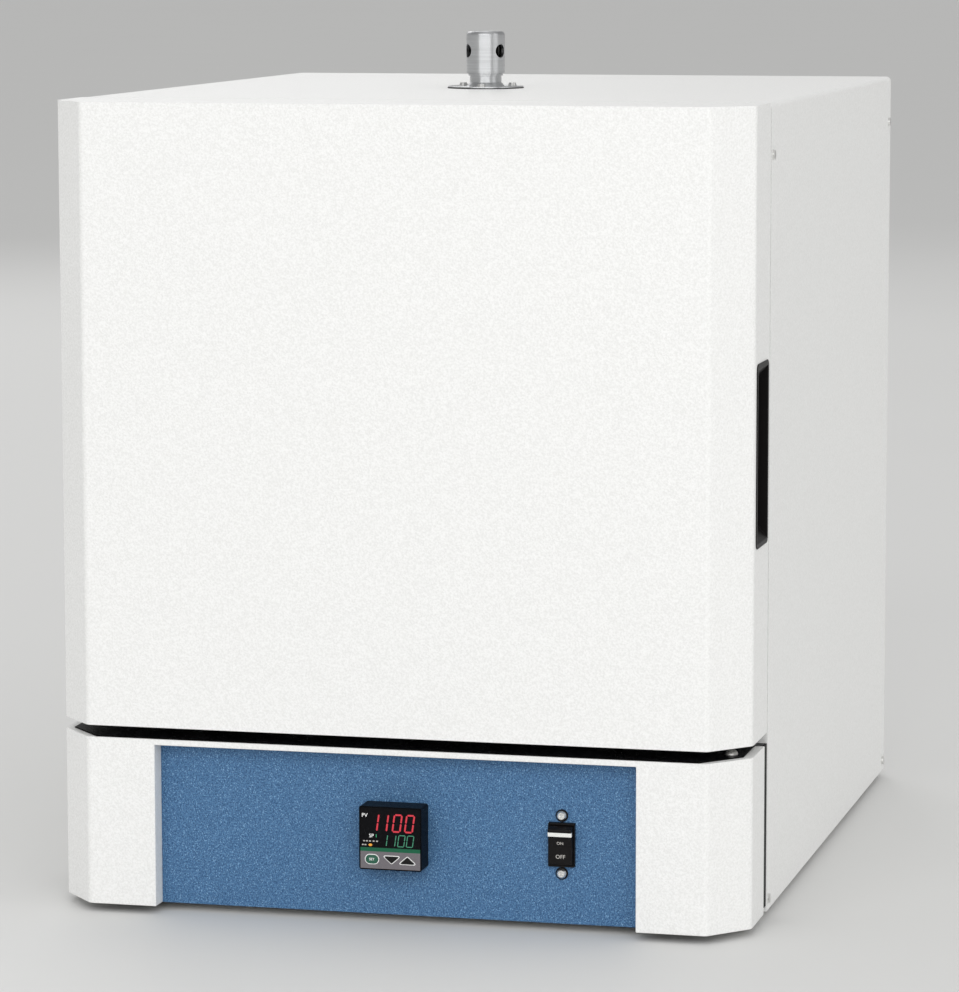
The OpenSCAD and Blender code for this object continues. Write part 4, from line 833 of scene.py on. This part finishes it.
def add_seal_braid():
    """Plaited strands on the rope seal: one strand copied in two slanted rows round the seal."""
    low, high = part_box("door_seal")
    half_x = (high.x - low.x) / 2 - SEAL_WIDTH * MM / 2
    half_z = (high.z - low.z) / 2 - SEAL_WIDTH * MM / 2
    whole = 4 * (half_x + half_z) - (8 - 2 * math.pi) * SEAL_BEND * MM
    bpy.ops.mesh.primitive_uv_sphere_add(segments=8, ring_count=6, radius=1)
    strand = bpy.context.object
    bpy.ops.object.mode_set(mode="EDIT")
    bpy.ops.transform.resize(value=[size * MM for size in STRAND_SIZE], center_override=(0, 0, 0))
    bpy.ops.object.mode_set(mode="OBJECT")
    count = round(whole / (BRAID_PITCH * MM))
    strands = []
    for i in range(count):
        for row in (-1, 1):
            at, along = seal_path((i + 0.25 + row * 0.25) / count * whole)
            out = Vector((along.z, 0, -along.x))
            at = at + out * row * SEAL_WIDTH * MM * STRAND_OFF
            at.y = high.y - STRAND_SUNK * MM
            facing = math.atan2(-along.z, along.x) + math.radians(STRAND_SLANT * row)
            move = Matrix.Translation(at) @ Matrix.Rotation(facing, 4, "Y")
            strands.append(copy_at(strand, move, "strand"))
    bpy.data.objects.remove(strand)
    finished(joined(strands), "seal_braid", ROPE, "door", ROUND_SMOOTH_ANGLE)


# Studio

def add_area(name, at, aim, size, power):
    """A rectangular lamp, white, that looks at a point."""
    data = bpy.data.lights.new(name, "AREA")
    data.shape = "RECTANGLE"
    data.size, data.size_y = size
    data.energy = power
    lamp = bpy.data.objects.new(name, data)
    bpy.context.scene.collection.objects.link(lamp)
    lamp.location = at
    lamp.rotation_euler = (Vector(aim) - Vector(at)).to_track_quat("-Z", "Y").to_euler()


def add_studio():
    """World, lamps and floor. The world lights, shows and is mirrored at three different strengths."""
    scene = bpy.context.scene
    scene.view_settings.view_transform = "Standard"
    world = bpy.data.worlds.new("studio")
    world.use_nodes = True
    scene.world = world
    tree = world.node_tree
    light = tree.nodes["Background"]
    light.inputs["Color"].default_value = (1, 1, 1, 1)
    light.inputs["Strength"].default_value = WORLD_LIGHT
    path = tree.nodes.new("ShaderNodeLightPath")
    last = light.outputs[0]
    for ray, strength in (("Is Glossy Ray", WORLD_MIRRORED), ("Is Camera Ray", WORLD_SEEN)):
        seen = tree.nodes.new("ShaderNodeBackground")
        seen.inputs["Color"].default_value = (1, 1, 1, 1)
        seen.inputs["Strength"].default_value = strength
        mix = tree.nodes.new("ShaderNodeMixShader")
        tree.links.new(path.outputs[ray], mix.inputs[0])
        tree.links.new(last, mix.inputs[1])
        tree.links.new(seen.outputs[0], mix.inputs[2])
        last = mix.outputs[0]
    tree.links.new(last, tree.nodes["World Output"].inputs["Surface"])

    middle = (CASE_LOW + CASE_HIGH) / 2
    for name, (at, size, power) in LAMPS.items():
        add_area(name, at, middle, size, power)

    bpy.ops.mesh.primitive_plane_add(size=FLOOR_SIZE)
    floor = bpy.context.object
    floor.name = "studio_floor"
    mat, tree, shader = new_material("studio_floor", (0.68, 0.68, 0.67, 1), 0.6, 0.0, 0.2)
    texture = noise(tree, object_coordinates(tree), 1.5)
    tree.links.new(remap(tree, texture, 0, 1, 0.55, 0.65), shader.inputs["Roughness"])
    floor.data.materials.append(mat)


add_camera()
add_studio()
dress_nodes()
softened("door_shell", WHITE, 0.0012)
softened("front_bezel", WHITE, 0.0007)
softened("control_panel", BLUE, 0.0006)
softened("outer_wrap", WHITE, 0.0007)
softened("controller_case", GLOSS, 0.0006)
softened("breaker_body", BLACK, 0.0006)
softened("breaker_rocker", BLACK, 0.0005)
softened("door_pull", BLACK, 0.0006)
softened("vent_cap", VENT_STEEL, 0.0004)
softened("vent_neck", VENT_STEEL, 0.0003)
softened("back_panel", WHITE, 0.0005)
softened("door_liner", STAINLESS, 0.0004)
softened("front_frame", GALVANISED, 0.0004)
softened("mouth_board", BOARD, 0.0012)
softened("door_plug", BOARD, 0.0025, 3)
softened("hearth_plate", FIRED, 0.0012)
softened("cable_gland", BLACK, 0.0005)
softened("cabinet_hinge_leaves", STAINLESS, 0.0003)
softened("door_hinge_leaves", STAINLESS, 0.0003)
softened("feet", RUBBER, 0.001, 3)
softened("door_catch", BLACK, 0.0004)
softened("door_switch", BLACK, 0.0004)
softened("rocker_band", IVORY, 0.0002)
softened("hinge_pins", PLATED, 0.0003)
# Black ledge plate: painted shade in the gap under the door
softened("ledge_plate", GLOSS, 0.0003)
add_display()
add_key_outlines()
add_breaker_marks()
add_wire_windings("element_left")
add_wire_windings("element_right")
add_seal_braid()
